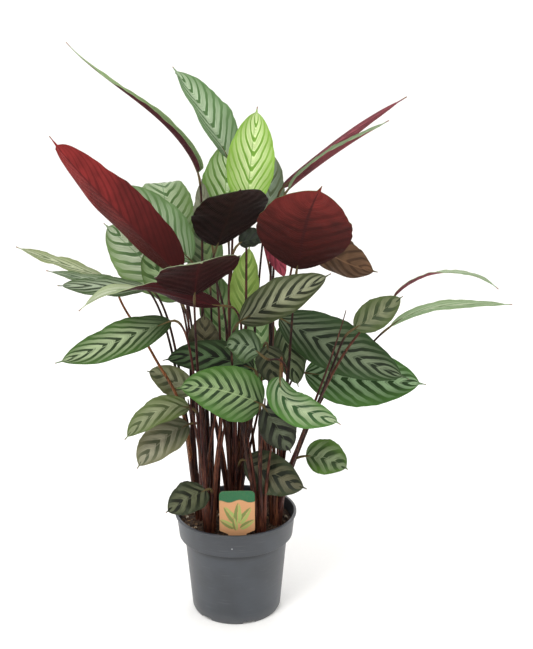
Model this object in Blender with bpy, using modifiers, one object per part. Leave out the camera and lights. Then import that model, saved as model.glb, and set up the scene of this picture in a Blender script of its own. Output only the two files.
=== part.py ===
"""A potted never never plant: a plastic nursery pot filled with soil, a tag, nine shoots and their leaves.

The origin is the middle of the pot's foot, on the surface that the pot stands on. The viewer stands at -Y.
Lengths are metres, but the leaves are listed in centimetres as an eye in front of the pot sees them.
"""

import math

import bmesh
import bpy
import numpy as np

# The eye that the leaves' places are given for
EYE_DISTANCE = 1.45
EYE_HEIGHT = 0.85

# Pot
POT_HEIGHT = 0.178
RIM_RADIUS = 0.105
COLLAR_TOP_RADIUS = 0.1025
COLLAR_FOOT_RADIUS = 0.0985
COLLAR_HEIGHT = 0.041
LEDGE_DROP = 0.004
BODY_TOP_RADIUS = 0.0890
BODY_FOOT_RADIUS = 0.0776
FOOT_RADIUS = 0.0745
FOOT_BEVEL = 0.001
LIP_HEIGHT = 0.004
LEDGE_HIGH = POT_HEIGHT - COLLAR_HEIGHT
COLLAR_LOW = LEDGE_HIGH - LEDGE_DROP
WALL = 0.002
FLOOR_HEIGHT = 0.006
FLOOR_THICKNESS = 0.003
CENTRE_FOOT_RADIUS = 0.015
ROUND_STEPS = 40
DRAIN_HOLES = 6
DRAIN_HOLE_RADIUS = 0.006
DRAIN_HOLE_SIDES = 16
DRAIN_CIRCLE_RADIUS = 0.050
DRAIN_CUTTER_RANGE = (-0.01, 0.02)
FOOT_NOTCHES = 6
FOOT_NOTCH_WIDTH = 0.020
FOOT_NOTCH_HEIGHT = 0.0045
FOOT_NOTCH_LENGTH = 0.024
FOOT_NOTCH_TURN = 0.77

# Soil
SOIL_TOP = 0.158
SOIL_DOME = 0.004
SOIL_DOME_RADIUS = 0.05
SOIL_DOME_SHARE = 0.7
HOLE_CUTTER_ABOVE = 0.05
GAP = 0.0003

# Plant tag
TAG_WIDTH = 0.0586
TAG_TOP = 0.245
TAG_THICKNESS = 0.0008
TAG_CORNER = 0.007
TAG_STAKE_WIDTH = 0.030
TAG_STAKE_DEPTH = 0.035
TAG_POINT_HALF_WIDTH = 0.004
TAG_POINT_LENGTH = 0.012
TAG_SHOULDER_LOW = 0.012
TAG_SHOULDER_HIGH = 0.018
TAG_PLACE = (0.0019, -0.080)
TAG_LEAN = math.radians(3)

# Shoots
CROWN_RADIUS = 0.012
CROWN_DEPTH = 0.025
CROWN_ABOVE_SOIL = 0.006
CROWN_SIDES = 12
STEM_SIDES_RESOLUTION = 1
STEM_POINTS = 7
VIA_STEM_POINTS = 11
STEM_FOOT_RADIUS = 0.0045
STEM_NECK_RADIUS = 0.0017
STEM_RING_RADIUS = 0.006
STEM_SUNK = 0.010
STEM_LEAN = 0.1
STEM_RISE_SHARE = 0.4
STEM_SOFTENINGS = 3
STEM_END_LENGTH = 0.003
STEM_END_GAP = 0.0005

# Leaf blades
BLADE_THICKNESS = 0.0008
BLADE_BODY_END = 0.94
DRIP_TIP_START = 0.90
DRIP_TIP_SHARE = 0.07
BLADE_FOOT_HALF_WIDTH = 0.0022
BLADE_TIP_HALF_WIDTH = 0.0007
FULL_FOLD_HALF_WIDTH = 0.012
BLADE_ALONG = (0, 0.06, 0.17, 0.32, 0.49, 0.66, 0.81, 0.93, 1)
BLADE_ACROSS = (-1, -0.5, 0, 0.5, 1)
RIB_SAMPLES = 120

LEAF_GREEN = (0.18, 0.27, 0.11, 1)
LEAF_MAROON = (0.13, 0.012, 0.02, 1)
STEM_BROWN = (0.09, 0.03, 0.022, 1)
SOIL_BROWN = (0.035, 0.02, 0.012, 1)
POT_GREY = (0.09, 0.095, 0.11, 1)
TAG_GREEN = (0.01, 0.2, 0.08, 1)


def leaf(shoot, rib, width, face, end_face=None, fold=(8, 8), curl=14, wave=0.25, waves=2.5, skew=0.85,
         taper=0.0, blunt=0.62, neck=5, via=()):
    """One leaf: its rib's points and width in cm, where its upper face looks, and how its halves fold.

    Points and directions are (across, up, toward the viewer). Fold and curl are in degrees, left half first.
    A smaller skew puts the widest place nearer the foot, taper is the share of its width that a blade loses
    by its tip, and a smaller blunt gives it fuller ends. Neck and via shape the stalk, also in cm."""
    return dict(
        shoot=shoot, rib=rib, width=width, face=face, end_face=end_face or face, fold=fold,
        curl=curl, wave=wave, waves=waves, skew=skew, taper=taper, blunt=blunt, neck=neck, via=via,
    )


LEAVES = {
    "leaf_top_left_rolled": leaf(
        "north_west", [(-5.6, 75.6, -3), (-8.6, 80.7, -3.8), (-14.9, 86.6, -5), (-25.4, 95.4, -7)], 3.6,
        (0.7, 0.7, 0.25), fold=(42, 80), curl=20, wave=0.1, skew=0.42, taper=0.72, blunt=0.5, neck=4),
    "leaf_top_back": leaf(
        "north", [(-0.9, 78, -6.5), (-5.2, 85.8, -8), (-9.2, 91.8, -10)], 9.6, (0.5, 0.4, 0.75),
        fold=(34, 4), curl=8, skew=0.72, neck=6),
    "leaf_top_bright": leaf(
        "centre", [(2.2, 70, -1), (2.9, 78, -2), (3.9, 85.8, -3.5)], 8.2, (0, 0.15, 1), fold=(14, 14)),
    "leaf_top_hidden": leaf(
        "north", [(-0.9, 66, -8), (-1.2, 74, -11), (-0.5, 81, -15)], 8.4, (-0.1, 0.25, 0.95), fold=(10, 10)),
    "leaf_top_dull": leaf(
        "north_west", [(-3.6, 64.5, -4), (-4.6, 69.5, -5.5), (-5, 74.6, -7)], 3.8, (-0.4, 0.1, 0.9)),
    "leaf_top_grey": leaf(
        "north", [(5, 67, -6), (5.8, 73.5, -8), (6.1, 79.2, -10)], 5.4, (0.3, 0.3, 0.9)),
    "leaf_upper_right_back": leaf(
        "north_east", [(8, 73.3, -5), (15.4, 79.4, -8), (27.4, 87.3, -11)], 2.6, (-0.15, -0.3, -1),
        fold=(20, 50), curl=30, wave=0.1, skew=0.7, taper=0.3),
    "leaf_upper_right_front": leaf(
        "north_east", [(8.9, 73, -2), (16.4, 78.6, -1.5), (24.7, 83.7, -1)], 3.2, (-0.4, 0.6, 0.6),
        fold=(10, 70), curl=30, wave=0.1, skew=0.7, taper=0.3),
    "leaf_left_maroon": leaf(
        "west", [(-9.2, 59.4, 0), (-15, 65.8, 1.5), (-20.4, 71.4, 2.5), (-28.7, 81.3, 4)], 9.2,
        (0.26, 0.28, -0.92), fold=(24, 24), skew=0.75, blunt=0.48),
    "leaf_left_round": leaf(
        "north_west", [(-9, 61.5, -11), (-10.6, 68.5, -14), (-11.2, 73.2, -18), (-11.8, 72.8, -25)], 9.8,
        (0, 0.3, 1), (0, 1, 0.2), fold=(-2, -2), curl=4),
    "leaf_left_behind": leaf(
        "north_west", [(-7, 61.5, -8), (-12.5, 67.5, -10.5), (-17.8, 74.3, -12.5)], 9.2, (0.25, 0.3, 0.9)),
    "leaf_left_pale": leaf(
        "west", [(-9.8, 56.5, -4), (-15.8, 62.8, -6), (-20.8, 67.6, -8)], 9.6, (-0.15, 0.3, 0.9)),
    "leaf_left_small": leaf(
        "west", [(-9, 55, -2), (-12.3, 59.3, -2.5), (-14.6, 63.3, -3)], 6.0, (-0.3, 0.3, 0.9)),
    "leaf_far_left_high": leaf(
        "west", [(-21.2, 58.9, -4), (-25.2, 60.2, -4), (-30, 61.9, -4), (-35, 63.9, -4)], 3.0, (0.1, 0.9, 0.45),
        fold=(4, 4), neck=2,
        via=[(-8.2, 33, 3), (-9.4, 37.6, 4.2), (-10.7, 40.6, 5.4), (-12.6, 43.8, 4.6), (-15, 48.6, 0.5),
             (-18.8, 54.8, -3)]),
    "leaf_far_left_back": leaf(
        "west", [(-15.5, 57.4, 0.5), (-22, 58.2, 1), (-30.4, 60, 1.5)], 2.8, (0, 0.9, 0.4), fold=(5, 5)),
    "leaf_far_left_striped": leaf(
        "west", [(-14.5, 57, 3), (-21, 57.2, 4), (-28.7, 57.5, 6)], 4.0, (0, 0.8, 0.6), fold=(0, 0), curl=8,
        blunt=0.5),
    "leaf_left_twisted": leaf(
        "centre", [(-2.3, 54, 4), (-9, 55.5, 5.8), (-16, 56.8, 7.5), (-25.5, 53.2, 9.5)], 5.2,
        (0.1, 0.5, -0.85), (0, 0.95, 0.3), neck=3, via=[(0.5, 40, -1.5), (1.5, 48, -0.5)]),
    "leaf_left_big": leaf(
        "south_west", [(-10.5, 51.4, 6), (-16, 49.3, 8), (-22.5, 46.8, 10), (-29.8, 44.4, 12)], 6.6,
        (-0.1, 0.7, 0.7), fold=(3, 3), curl=8),
    "leaf_olive_centre": leaf(
        "centre", [(-5, 45.5, 0.6), (-5.1, 49, 0.4), (-5, 52.6, 0)], 5.3, (0, 0.3, 0.9)),
    "leaf_dark_left": leaf(
        "centre", [(3.2, 43, 2.6), (-4.5, 45.2, 2.6), (-12, 44.7, 3.2)], 6.0, (0, 0.4, 0.9), neck=2),
    "leaf_front_bright": leaf(
        "south", [(4.6, 36.8, 9), (0, 38.7, 10.5), (-4.5, 39.8, 11.3), (-9.9, 39.8, 12)], 8.6, (0, 0.35, 0.9),
        fold=(-8, -8), wave=0.4, skew=0.68, neck=0.8, via=[(4.2, 25, 6.4), (4.6, 33, 7.2)]),
    "leaf_small_centre": leaf(
        "south_east", [(4.1, 45.8, 10), (1.4, 47.2, 11), (-1.6, 46.9, 12)], 5.5, (0.1, 0.5, 0.85),
        fold=(-12, -12), neck=2, via=[(8, 25, 2.2), (8.6, 38, 6), (8.9, 43, 7.5), (7.6, 44.9, 9)]),
    "leaf_olive_left": leaf(
        "south_west", [(-7.3, 38.8, 3), (-11, 41.5, 2.5), (-14.7, 42.9, 1.8)], 5.0, (-0.1, 0.25, 0.95)),
    "leaf_folded_left": leaf(
        "south_west", [(-7.8, 36.4, 6.2), (-12.5, 35.8, 8.2), (-16, 33.6, 9), (-18.8, 30.8, 10)], 4.8,
        (-0.2, 0.6, 0.75)),
    "leaf_grey_low_left": leaf(
        "south_west", [(-7.9, 33.4, 5), (-12.8, 30.2, 7), (-16.9, 25.5, 9)], 6.6, (-0.35, 0.45, 0.8)),
    "leaf_over_rim": leaf(
        "south_west", [(-5.2, 21.4, 7.5), (-7.9, 19.9, 9.5), (-12.2, 17.3, 11)], 5.8, (-0.2, 0.6, 0.75), neck=3),
    "leaf_right_folded": leaf(
        "south_east", [(7.6, 41.6, 8), (9, 37.5, 10), (13, 35.3, 11), (18, 33, 12)], 7.5, (0.15, 0.55, 0.8),
        fold=(-40, 10), via=[(8, 25, 2.2), (7.9, 34, 4.2)]),
    "leaf_dark_hanging": leaf(
        "south", [(4.9, 36.4, 10), (7.1, 32.8, 10.4), (9.5, 28, 11)], 6.2, (0.1, 0.4, 0.9), neck=1,
        via=[(4.1, 25, 7), (4.1, 33.5, 9)]),
    "leaf_dark_low": leaf(
        "centre", [(1.6, 26.8, 2.4), (6.5, 24.3, 4.8), (12.3, 21.3, 8.4)], 7.4, (0, 0.08, 1), neck=2),
    "leaf_small_low_right": leaf(
        "south_east", [(12.1, 27.4, 5), (15.5, 27, 6), (19.4, 24.8, 7)], 6.2, (0.1, 0.5, 0.85)),
    "leaf_silver_front": leaf(
        "south", [(1, 51.3, 9), (5, 53.5, 10), (10, 56, 11), (15.9, 59.2, 12)], 6.8, (-0.15, 0.6, 0.8)),
    "leaf_big_dark_right": leaf(
        "east", [(7.5, 51.8, -1), (13, 48.8, 1), (20, 45.3, 3), (29.4, 41, 5)], 9.0, (0.1, 0.3, 0.95)),
    "leaf_big_low_right": leaf(
        "east", [(11.8, 42.3, -3), (18, 41.6, -2.5), (25, 41, -1.5), (32.4, 40, 0.5)], 10.4, (0.1, 0.3, 0.95)),
    "leaf_long_twisted_right": leaf(
        "south_east", [(26.4, 55.2, 5.5), (29.5, 57.8, 6.5), (34, 59.2, 7.5), (39, 58.9, 8.3), (43.8, 56.4, 9)],
        2.5, (-0.3, 0.8, -0.5), (0.1, 0.95, 0.3), fold=(2, 2), curl=10, wave=0.1, neck=2.5,
        via=[(16.5, 43, 6.5), (21.5, 50.3, 4.6)]),
    "leaf_right_grey": leaf(
        "south_east", [(20, 49.9, 6.8), (23.7, 52.4, 7), (27.9, 55.3, 7.2)], 5.0, (0.1, 0.45, 0.85),
        neck=2, via=[(16.2, 42.5, 6.8)]),
    "leaf_long_arch_right": leaf(
        "east", [(26, 50.2, -5), (29.5, 52.3, -4.5), (37, 53.8, -3.5), (46.3, 53.8, -2)], 2.5, (0, 0.9, 0.45),
        fold=(4, 4), curl=10, wave=0.1, neck=2, via=[(16, 41, -6.2), (22.5, 46.8, -6)]),
    "leaf_bright_behind": leaf(
        "north", [(4.5, 41, -7), (4.2, 47.5, -11), (3.8, 53, -17)], 7.5, (0, 0.2, 1)),
    "leaf_striped_hanging": leaf(
        "north_east", [(8, 50.5, -2.6), (9.3, 45.5, -1), (10.7, 39.8, 0)], 5.5, (0.2, 0.2, 1), neck=2),
    "leaf_brown_hanging": leaf(
        "centre", [(5.5, 47, 0), (6, 44, 1.5), (6.8, 40.3, 2)], 5.2, (0, 0.2, 1)),
    "leaf_yellow_behind": leaf(
        "north", [(1.2, 52, -3.2), (1.8, 58.5, -3.7), (2.6, 64, -4.2)], 5.4, (0.2, 0.1, 0.9), fold=(8, 30)),
    "leaf_small_dark": leaf(
        "centre", [(0.9, 64.2, 1.2), (3, 65, 1.8), (5.6, 64.6, 2.4)], 3.6, (0, 0.6, 0.8)),
    "leaf_pink_hanging": leaf(
        "north_east", [(5.2, 64.8, -2), (6.8, 62, -1), (8.4, 58.4, 0)], 2.8, (0, 0.1, -1), neck=1.5,
        via=[(6.5, 48, -4.5), (6.4, 58, -5)]),
    "leaf_green_behind": leaf(
        "north_west", [(-4, 58, -9.5), (-4.8, 63.5, -15), (-5.6, 68, -21)], 7.2, (-0.1, 0.2, 0.9)),
    "leaf_striped_behind": leaf(
        "north", [(-1.6, 46, -8.6), (-2.6, 53.5, -11.5), (-4, 60, -17)], 7.0, (0, 0.2, 1)),
    "leaf_front_pointing": leaf(
        "south_west", [(-6.5, 55.8, 8.5), (-6.1, 58.8, 13), (-5.6, 60.9, 18.5), (-5.2, 61, 25)], 12.8,
        (-0.22, 0.91, -0.3), fold=(0, 0), curl=2, skew=1.05),
    "leaf_black_front": leaf(
        "centre", [(-2.7, 63.9, 4), (-1.4, 67.3, 8), (0, 70.6, 13), (1.2, 73, 19)], 11.4, (-0.17, 0.8, -0.44),
        fold=(0, 0), curl=4, skew=1.1, blunt=0.5, via=[(-1.2, 45, 0), (-1.4, 53, 1.2)]),
    "leaf_red_front": leaf(
        "south_east", [(10.3, 60, 6), (11, 64, 10), (12, 68.4, 15), (14.2, 73.4, 20.5)], 14.4,
        (0.15, 0.75, -0.6), fold=(0, 0), curl=6, skew=0.92, blunt=0.62),
    "leaf_olive_right": leaf(
        "north_east", [(12.2, 65.4, -3), (17.2, 61.6, -1), (23.6, 59.4, 1)], 8, (0.3, 0.4, -0.85)),
}


def seen(points):
    """World places of points given as (across, up, toward) in cm.

    Across and up are what the eye sees on the upright plane through the pot's axis. A point that is nearer
    the eye by toward is drawn in to the eye's line of sight by the same share of the distance."""
    across, up, toward = np.asarray(points, float).T / 100
    share = (EYE_DISTANCE - toward) / EYE_DISTANCE
    return np.stack([across * share, -toward, EYE_HEIGHT + (up - EYE_HEIGHT) * share], axis=1)


def direction(vector):
    """A unit vector in the world for one given as (across, up, toward)."""
    across, up, toward = vector
    world = np.array([across, -toward, up], float)
    return world / np.linalg.norm(world)


def unit(vectors):
    return vectors / np.linalg.norm(vectors, axis=-1, keepdims=True)


def smooth_line(knots, shares):
    """The polynomial through all the knots, sampled at these shares of its own length."""
    steps = np.concatenate([[0], np.cumsum(np.linalg.norm(np.diff(knots, axis=0), axis=1))])
    fit = np.polyfit(steps / steps[-1], knots, len(knots) - 1)
    fine = np.linspace(0, 1, RIB_SAMPLES)
    line = np.stack([np.polyval(fit[:, axis], fine) for axis in range(3)], axis=1)
    return even_points(line, shares)


def even_points(line, shares):
    """Points at these shares of a line's length."""
    length = np.concatenate([[0], np.cumsum(np.linalg.norm(np.diff(line, axis=0), axis=1))])
    even = np.asarray(shares) * length[-1]
    return np.stack([np.interp(even, length, line[:, axis]) for axis in range(3)], axis=1)


def blade_outline(along, spec):
    """Half the blade's width as a share of its greatest, from its foot at 0 to its tip at 1.

    The body is a power of a sine, which makes it blunt, on a skewed length, which puts its widest place
    nearer the foot. The drip tip is a straight taper that takes over where the body has narrowed."""
    body = np.sin(np.pi * np.minimum(along / BLADE_BODY_END, 1) ** spec["skew"])
    tip = DRIP_TIP_SHARE * np.minimum(1, (1 - along) / (1 - DRIP_TIP_START))
    return np.maximum(np.abs(body) ** spec["blunt"] * (1 - spec["taper"] * along), tip)


def leaf_surface(spec, along, across):
    """Points of a leaf's middle surface, for along from 0 at its foot to 1 at its tip and across from -1 to 1.

    Each half leaves the rib at its fold's slope and curls on by the same angle for each step outwards, so
    that a cross-section is two arcs. Where the blade is narrow it folds less. The margins also rise and
    fall in a sine along the leaf."""
    along = np.asarray(along, float)
    across = np.asarray(across, float)
    line = smooth_line(seen(spec["rib"]), along)
    ahead = smooth_line(seen(spec["rib"]), np.minimum(along + 0.01, 1))
    behind = smooth_line(seen(spec["rib"]), np.maximum(along - 0.01, 0))
    tangent = unit(ahead - behind)
    turn = (along * along * (3 - 2 * along))[:, None]
    facing = direction(spec["face"]) * (1 - turn) + direction(spec["end_face"]) * turn
    normal = unit(facing - np.sum(facing * tangent, axis=1)[:, None] * tangent)
    side = np.cross(tangent, normal)

    least = BLADE_FOOT_HALF_WIDTH + (BLADE_TIP_HALF_WIDTH - BLADE_FOOT_HALF_WIDTH) * along
    half = np.maximum(spec["width"] / 200 * blade_outline(along, spec), least)[:, None]
    out = np.abs(across)[None, :]
    fold = np.radians(np.where(across < 0, spec["fold"][0], spec["fold"][1]))[None, :]
    fold = fold * np.minimum(1, half / FULL_FOLD_HALF_WIDTH)
    curl = math.radians(spec["curl"]) + 1e-6
    outward = half * (np.sin(fold + curl * out) - np.sin(fold)) / curl
    lift = half * (np.cos(fold) - np.cos(fold + curl * out)) / curl
    calm = np.sin(np.pi * along)[:, None]
    phase = 2 * np.pi * spec["waves"] * along[:, None] + np.where(across < 0, 0, 1.9)[None, :]
    lift = lift + spec["wave"] / 100 * calm * out**2 * np.sin(phase)
    outward = outward * np.sign(across)[None, :]
    return line[:, None] + outward[:, :, None] * side[:, None] + lift[:, :, None] * normal[:, None]


# The shoots' crowns, as places on the soil (x, y), all inside the pot's rim
CROWNS = {
    "north_west": (-0.042, 0.040),
    "north": (0.000, 0.064),
    "north_east": (0.044, 0.040),
    "west": (-0.060, 0.002),
    "centre": (-0.004, 0.006),
    "east": (0.070, 0.010),
    "south_west": (-0.044, -0.046),
    "south": (0.041, -0.050),
    "south_east": (0.068, -0.020),
}

# A leaf that is still rolled up: its shoot, its points as seen and the radius at its tip
SPEAR_SHOOT = "south_east"
SPEAR = [(11, 30, 6), (15.2, 42, 8), (18.5, 53, 9)]
SPEAR_TIP_RADIUS = 0.0008


def material(name, colour, roughness):
    made = bpy.data.materials.new(name)
    made.use_nodes = True
    shader = made.node_tree.nodes["Principled BSDF"]
    shader.inputs["Base Color"].default_value = colour
    shader.inputs["Roughness"].default_value = roughness
    shader.inputs["Metallic"].default_value = 0.0
    made.diffuse_color = colour
    return made


def collection(name):
    made = bpy.data.collections.new(name)
    bpy.context.scene.collection.children.link(made)
    return made


def add_mesh(name, build, home, finish=None):
    """A mesh object of this name, whose faces the function build makes in an empty bmesh."""
    work = bmesh.new()
    build(work)
    mesh = bpy.data.meshes.new(name)
    work.to_mesh(mesh)
    work.free()
    made = bpy.data.objects.new(name, mesh)
    home.objects.link(made)
    if finish:
        mesh.materials.append(finish)
    return made


def hide(cutter):
    cutter.hide_render = True
    cutter.display_type = "WIRE"
    return cutter


def cut(target, cutter):
    boolean = target.modifiers.new("Cut", "BOOLEAN")
    boolean.operation = "DIFFERENCE"
    boolean.object = hide(cutter)


def turned(name, profile, home, finish):
    """A closed body turned round +Z from a profile of (radius, height), its ends on the axis."""
    mesh = bpy.data.meshes.new(name)
    points = [(radius, 0, height) for radius, height in profile]
    mesh.from_pydata(points, [(i, i + 1) for i in range(len(points) - 1)], [])
    mesh.materials.append(finish)
    made = bpy.data.objects.new(name, mesh)
    home.objects.link(made)
    screw = made.modifiers.new("Turn", "SCREW")
    screw.steps = screw.render_steps = ROUND_STEPS
    screw.use_merge_vertices = True
    screw.merge_threshold = 0.0001
    screw.use_normal_calculate = True
    return made


def cylinder(name, radius, low, high, place, home, sides):
    def build(work):
        bmesh.ops.create_cone(
            work, cap_ends=True, segments=sides, radius1=radius, radius2=radius, depth=high - low)
        bmesh.ops.translate(work, verts=work.verts, vec=(place[0], place[1], (low + high) / 2))
    return add_mesh(name, build, home)


def box_cutter(name, size, home):
    def build(work):
        bmesh.ops.create_cube(work, size=1)
        bmesh.ops.scale(work, verts=work.verts, vec=size)
    return add_mesh(name, build, home)


def inner_radius(height):
    """The pot's inner wall, a wall's thickness inside its body and its collar."""
    body = np.interp(height, [FLOOR_HEIGHT, COLLAR_LOW], [BODY_FOOT_RADIUS, BODY_TOP_RADIUS])
    collar = np.interp(height, [LEDGE_HIGH, POT_HEIGHT], [COLLAR_FOOT_RADIUS, COLLAR_TOP_RADIUS])
    return float(np.where(height < COLLAR_LOW, body, collar)) - WALL


def pot_profile():
    """The pot's section, from the middle of its under side out, up the outside, and down the inside."""
    bottom = FLOOR_HEIGHT - FLOOR_THICKNESS
    return [
        (0, FLOOR_HEIGHT),
        (BODY_FOOT_RADIUS - WALL, FLOOR_HEIGHT),
        (BODY_TOP_RADIUS - WALL, COLLAR_LOW),
        (COLLAR_FOOT_RADIUS - WALL, LEDGE_HIGH),
        (COLLAR_TOP_RADIUS - WALL, POT_HEIGHT),
        (RIM_RADIUS, POT_HEIGHT),
        (RIM_RADIUS, POT_HEIGHT - LIP_HEIGHT),
        (COLLAR_TOP_RADIUS, POT_HEIGHT - LIP_HEIGHT),
        (COLLAR_FOOT_RADIUS, LEDGE_HIGH),
        (BODY_TOP_RADIUS, COLLAR_LOW),
        (BODY_FOOT_RADIUS, FLOOR_HEIGHT),
        (FOOT_RADIUS + FOOT_BEVEL, FOOT_BEVEL),
        (FOOT_RADIUS, 0),
        (FOOT_RADIUS - 2 * WALL, 0),
        (FOOT_RADIUS - 2 * WALL, bottom),
        (CENTRE_FOOT_RADIUS + WALL, bottom),
        (CENTRE_FOOT_RADIUS, 0),
        (0, 0),
    ]


def add_pot(home, cutters, finish):
    pot = turned("pot", pot_profile(), home, finish)
    for index in range(DRAIN_HOLES):
        turn = 2 * math.pi * index / DRAIN_HOLES
        place = (DRAIN_CIRCLE_RADIUS * math.cos(turn), DRAIN_CIRCLE_RADIUS * math.sin(turn))
        drain = cylinder(
            f"drain_cutter_{index}", DRAIN_HOLE_RADIUS, *DRAIN_CUTTER_RANGE, place, cutters, DRAIN_HOLE_SIDES)
        cut(pot, drain)
    for index in range(FOOT_NOTCHES):
        turn = 2 * math.pi * (index + FOOT_NOTCH_TURN) / FOOT_NOTCHES
        notch = box_cutter(
            f"notch_cutter_{index}", (FOOT_NOTCH_LENGTH, FOOT_NOTCH_WIDTH, 2 * FOOT_NOTCH_HEIGHT), cutters)
        notch.location = (FOOT_RADIUS * math.cos(turn), FOOT_RADIUS * math.sin(turn), 0)
        notch.rotation_euler = (0, 0, turn)
        cut(pot, notch)
    return pot


def add_soil(home, cutters, finish):
    """Soil that fills the pot to a low dome, with a plain hole for each crown and a slot for the tag."""
    low = FLOOR_HEIGHT + GAP
    profile = [(0, SOIL_TOP + SOIL_DOME), (SOIL_DOME_RADIUS, SOIL_TOP + SOIL_DOME_SHARE * SOIL_DOME)]
    profile += [(inner_radius(z) - GAP, z) for z in (SOIL_TOP, LEDGE_HIGH, COLLAR_LOW - 1e-6, low)]
    soil = turned("soil", profile + [(0, low)], home, finish)
    for name, place in CROWNS.items():
        bottom = SOIL_TOP - CROWN_DEPTH - GAP
        top = SOIL_TOP + HOLE_CUTTER_ABOVE
        cut(soil, cylinder(f"{name}_hole", CROWN_RADIUS + GAP, bottom, top, place, cutters, CROWN_SIDES))
    slot = stake_outline(GAP) + [(TAG_STAKE_WIDTH / 2 + GAP, TAG_SHOULDER_LOW)]
    cut(soil, upright_plate("tag_slot", slot, TAG_THICKNESS + 2 * GAP, cutters))
    return soil


def stake_outline(margin):
    """The right half of the tag's stake, from its blunt point up, grown by a margin."""
    return [
        (TAG_POINT_HALF_WIDTH, -TAG_STAKE_DEPTH - margin),
        (TAG_STAKE_WIDTH / 2 + margin, TAG_POINT_LENGTH - TAG_STAKE_DEPTH - margin),
    ]


def tag_outline():
    """The right half of the tag: its stake, its shoulder and a plate with a round upper corner."""
    wide = TAG_WIDTH / 2
    high = TAG_TOP - SOIL_TOP
    outline = stake_outline(0) + [(TAG_STAKE_WIDTH / 2, TAG_SHOULDER_LOW), (wide, TAG_SHOULDER_HIGH)]
    for turn in np.radians([0, 30, 60, 90]):
        outline.append((wide - TAG_CORNER * (1 - math.cos(turn)), high - TAG_CORNER * (1 - math.sin(turn))))
    return outline


def upright_plate(name, right_half, thickness, home):
    """A plate of the tag's lean and place, from the right half of its outline."""
    outline = right_half + [(-x, z) for x, z in reversed(right_half)]

    def build(work):
        front = work.faces.new([work.verts.new((x, -thickness / 2, z)) for x, z in outline])
        moved = bmesh.ops.extrude_face_region(work, geom=[front])["geom"]
        corners = [item for item in moved if isinstance(item, bmesh.types.BMVert)]
        bmesh.ops.translate(work, verts=corners, vec=(0, thickness, 0))
        bmesh.ops.recalc_face_normals(work, faces=work.faces)
    made = add_mesh(name, build, home)
    made.location = (TAG_PLACE[0], TAG_PLACE[1], SOIL_TOP)
    made.rotation_euler = (-TAG_LEAN, 0, 0)
    return made


def add_leaf(name, spec, home, finishes):
    """A blade as an open surface on a grid, split into triangles before it gets its thickness."""
    surface = leaf_surface(spec, BLADE_ALONG, BLADE_ACROSS)

    def build(work):
        bmesh.ops.create_grid(work, x_segments=len(BLADE_ACROSS) - 1, y_segments=len(BLADE_ALONG) - 1, size=1)
        for vert in work.verts:
            column = round((vert.co.x + 1) / 2 * (len(BLADE_ACROSS) - 1))
            row = round((vert.co.y + 1) / 2 * (len(BLADE_ALONG) - 1))
            vert.co = surface[row, column]
        bmesh.ops.triangulate(work, faces=work.faces)
    made = add_mesh(name, build, home)
    for finish in finishes:
        made.data.materials.append(finish)
    made.data.shade_smooth()
    wall = made.modifiers.new("Thickness", "SOLIDIFY")
    wall.thickness = BLADE_THICKNESS
    wall.offset = 0
    wall.material_offset = 1
    return made


def stem_path(spec, start):
    """A leaf's stalk: up out of its crown, through any points given, and into the rib's own direction.

    The stretch without such points is a cubic whose handles are a share of its span at the foot and the
    leaf's neck at the top."""
    rib = smooth_line(seen(spec["rib"]), [0, 0.03])
    ahead = unit(rib[1] - rib[0])
    top = rib[0] - ahead * STEM_END_GAP
    neck = top - ahead * spec["neck"] / 100
    foot = np.array([start[0], start[1], SOIL_TOP + CROWN_ABOVE_SOIL - STEM_SUNK])
    rise = foot + np.array([start[2], start[3], 1.0]) * STEM_RISE_SHARE * np.linalg.norm(top - foot)
    if spec["via"]:
        steps = np.concatenate([[foot, foot + (rise - foot) * 0.5], seen(spec["via"]), [neck, top]])
        path = chain(steps, VIA_STEM_POINTS)
    else:
        t = np.linspace(0, 1, STEM_POINTS)[:, None]
        path = (1 - t)**3 * foot + 3 * (1 - t)**2 * t * rise + 3 * (1 - t) * t**2 * neck + t**3 * top
    return np.concatenate([path[:-1], [top - ahead * STEM_END_LENGTH, top]])


def chain(knots, count):
    """A smooth curve near the knots: their straight chain, softened by cutting its corners, ends kept."""
    line = np.asarray(knots, float)
    for _ in range(STEM_SOFTENINGS):
        near = 0.75 * line[:-1] + 0.25 * line[1:]
        far = 0.25 * line[:-1] + 0.75 * line[1:]
        line = np.concatenate([line[:1], np.stack([near, far], axis=1).reshape(-1, 3), line[-1:]])
    return even_points(line, np.linspace(0, 1, count))


def add_tube(name, path, radii, home):
    """A tapered tube along a path, as a mesh with its caps welded on."""
    curve = bpy.data.curves.new(name, "CURVE")
    curve.dimensions = "3D"
    curve.bevel_depth = 1.0
    curve.bevel_resolution = STEM_SIDES_RESOLUTION
    curve.use_fill_caps = True
    spline = curve.splines.new("POLY")
    spline.points.add(len(path) - 1)
    for point, place, radius in zip(spline.points, path, radii):
        point.co = (*place, 1)
        point.radius = radius
    guide = bpy.data.objects.new(name + "_guide", curve)
    home.objects.link(guide)
    bpy.context.view_layer.update()
    evaluated = guide.evaluated_get(bpy.context.evaluated_depsgraph_get())
    mesh = bpy.data.meshes.new_from_object(evaluated)
    work = bmesh.new()
    work.from_mesh(mesh)
    bmesh.ops.remove_doubles(work, verts=work.verts, dist=1e-5)
    bmesh.ops.recalc_face_normals(work, faces=work.faces)
    work.to_mesh(mesh)
    work.free()
    made = bpy.data.objects.new(name, mesh)
    made.matrix_world = guide.matrix_world
    home.objects.link(made)
    bpy.data.objects.remove(guide)
    return made


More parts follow.
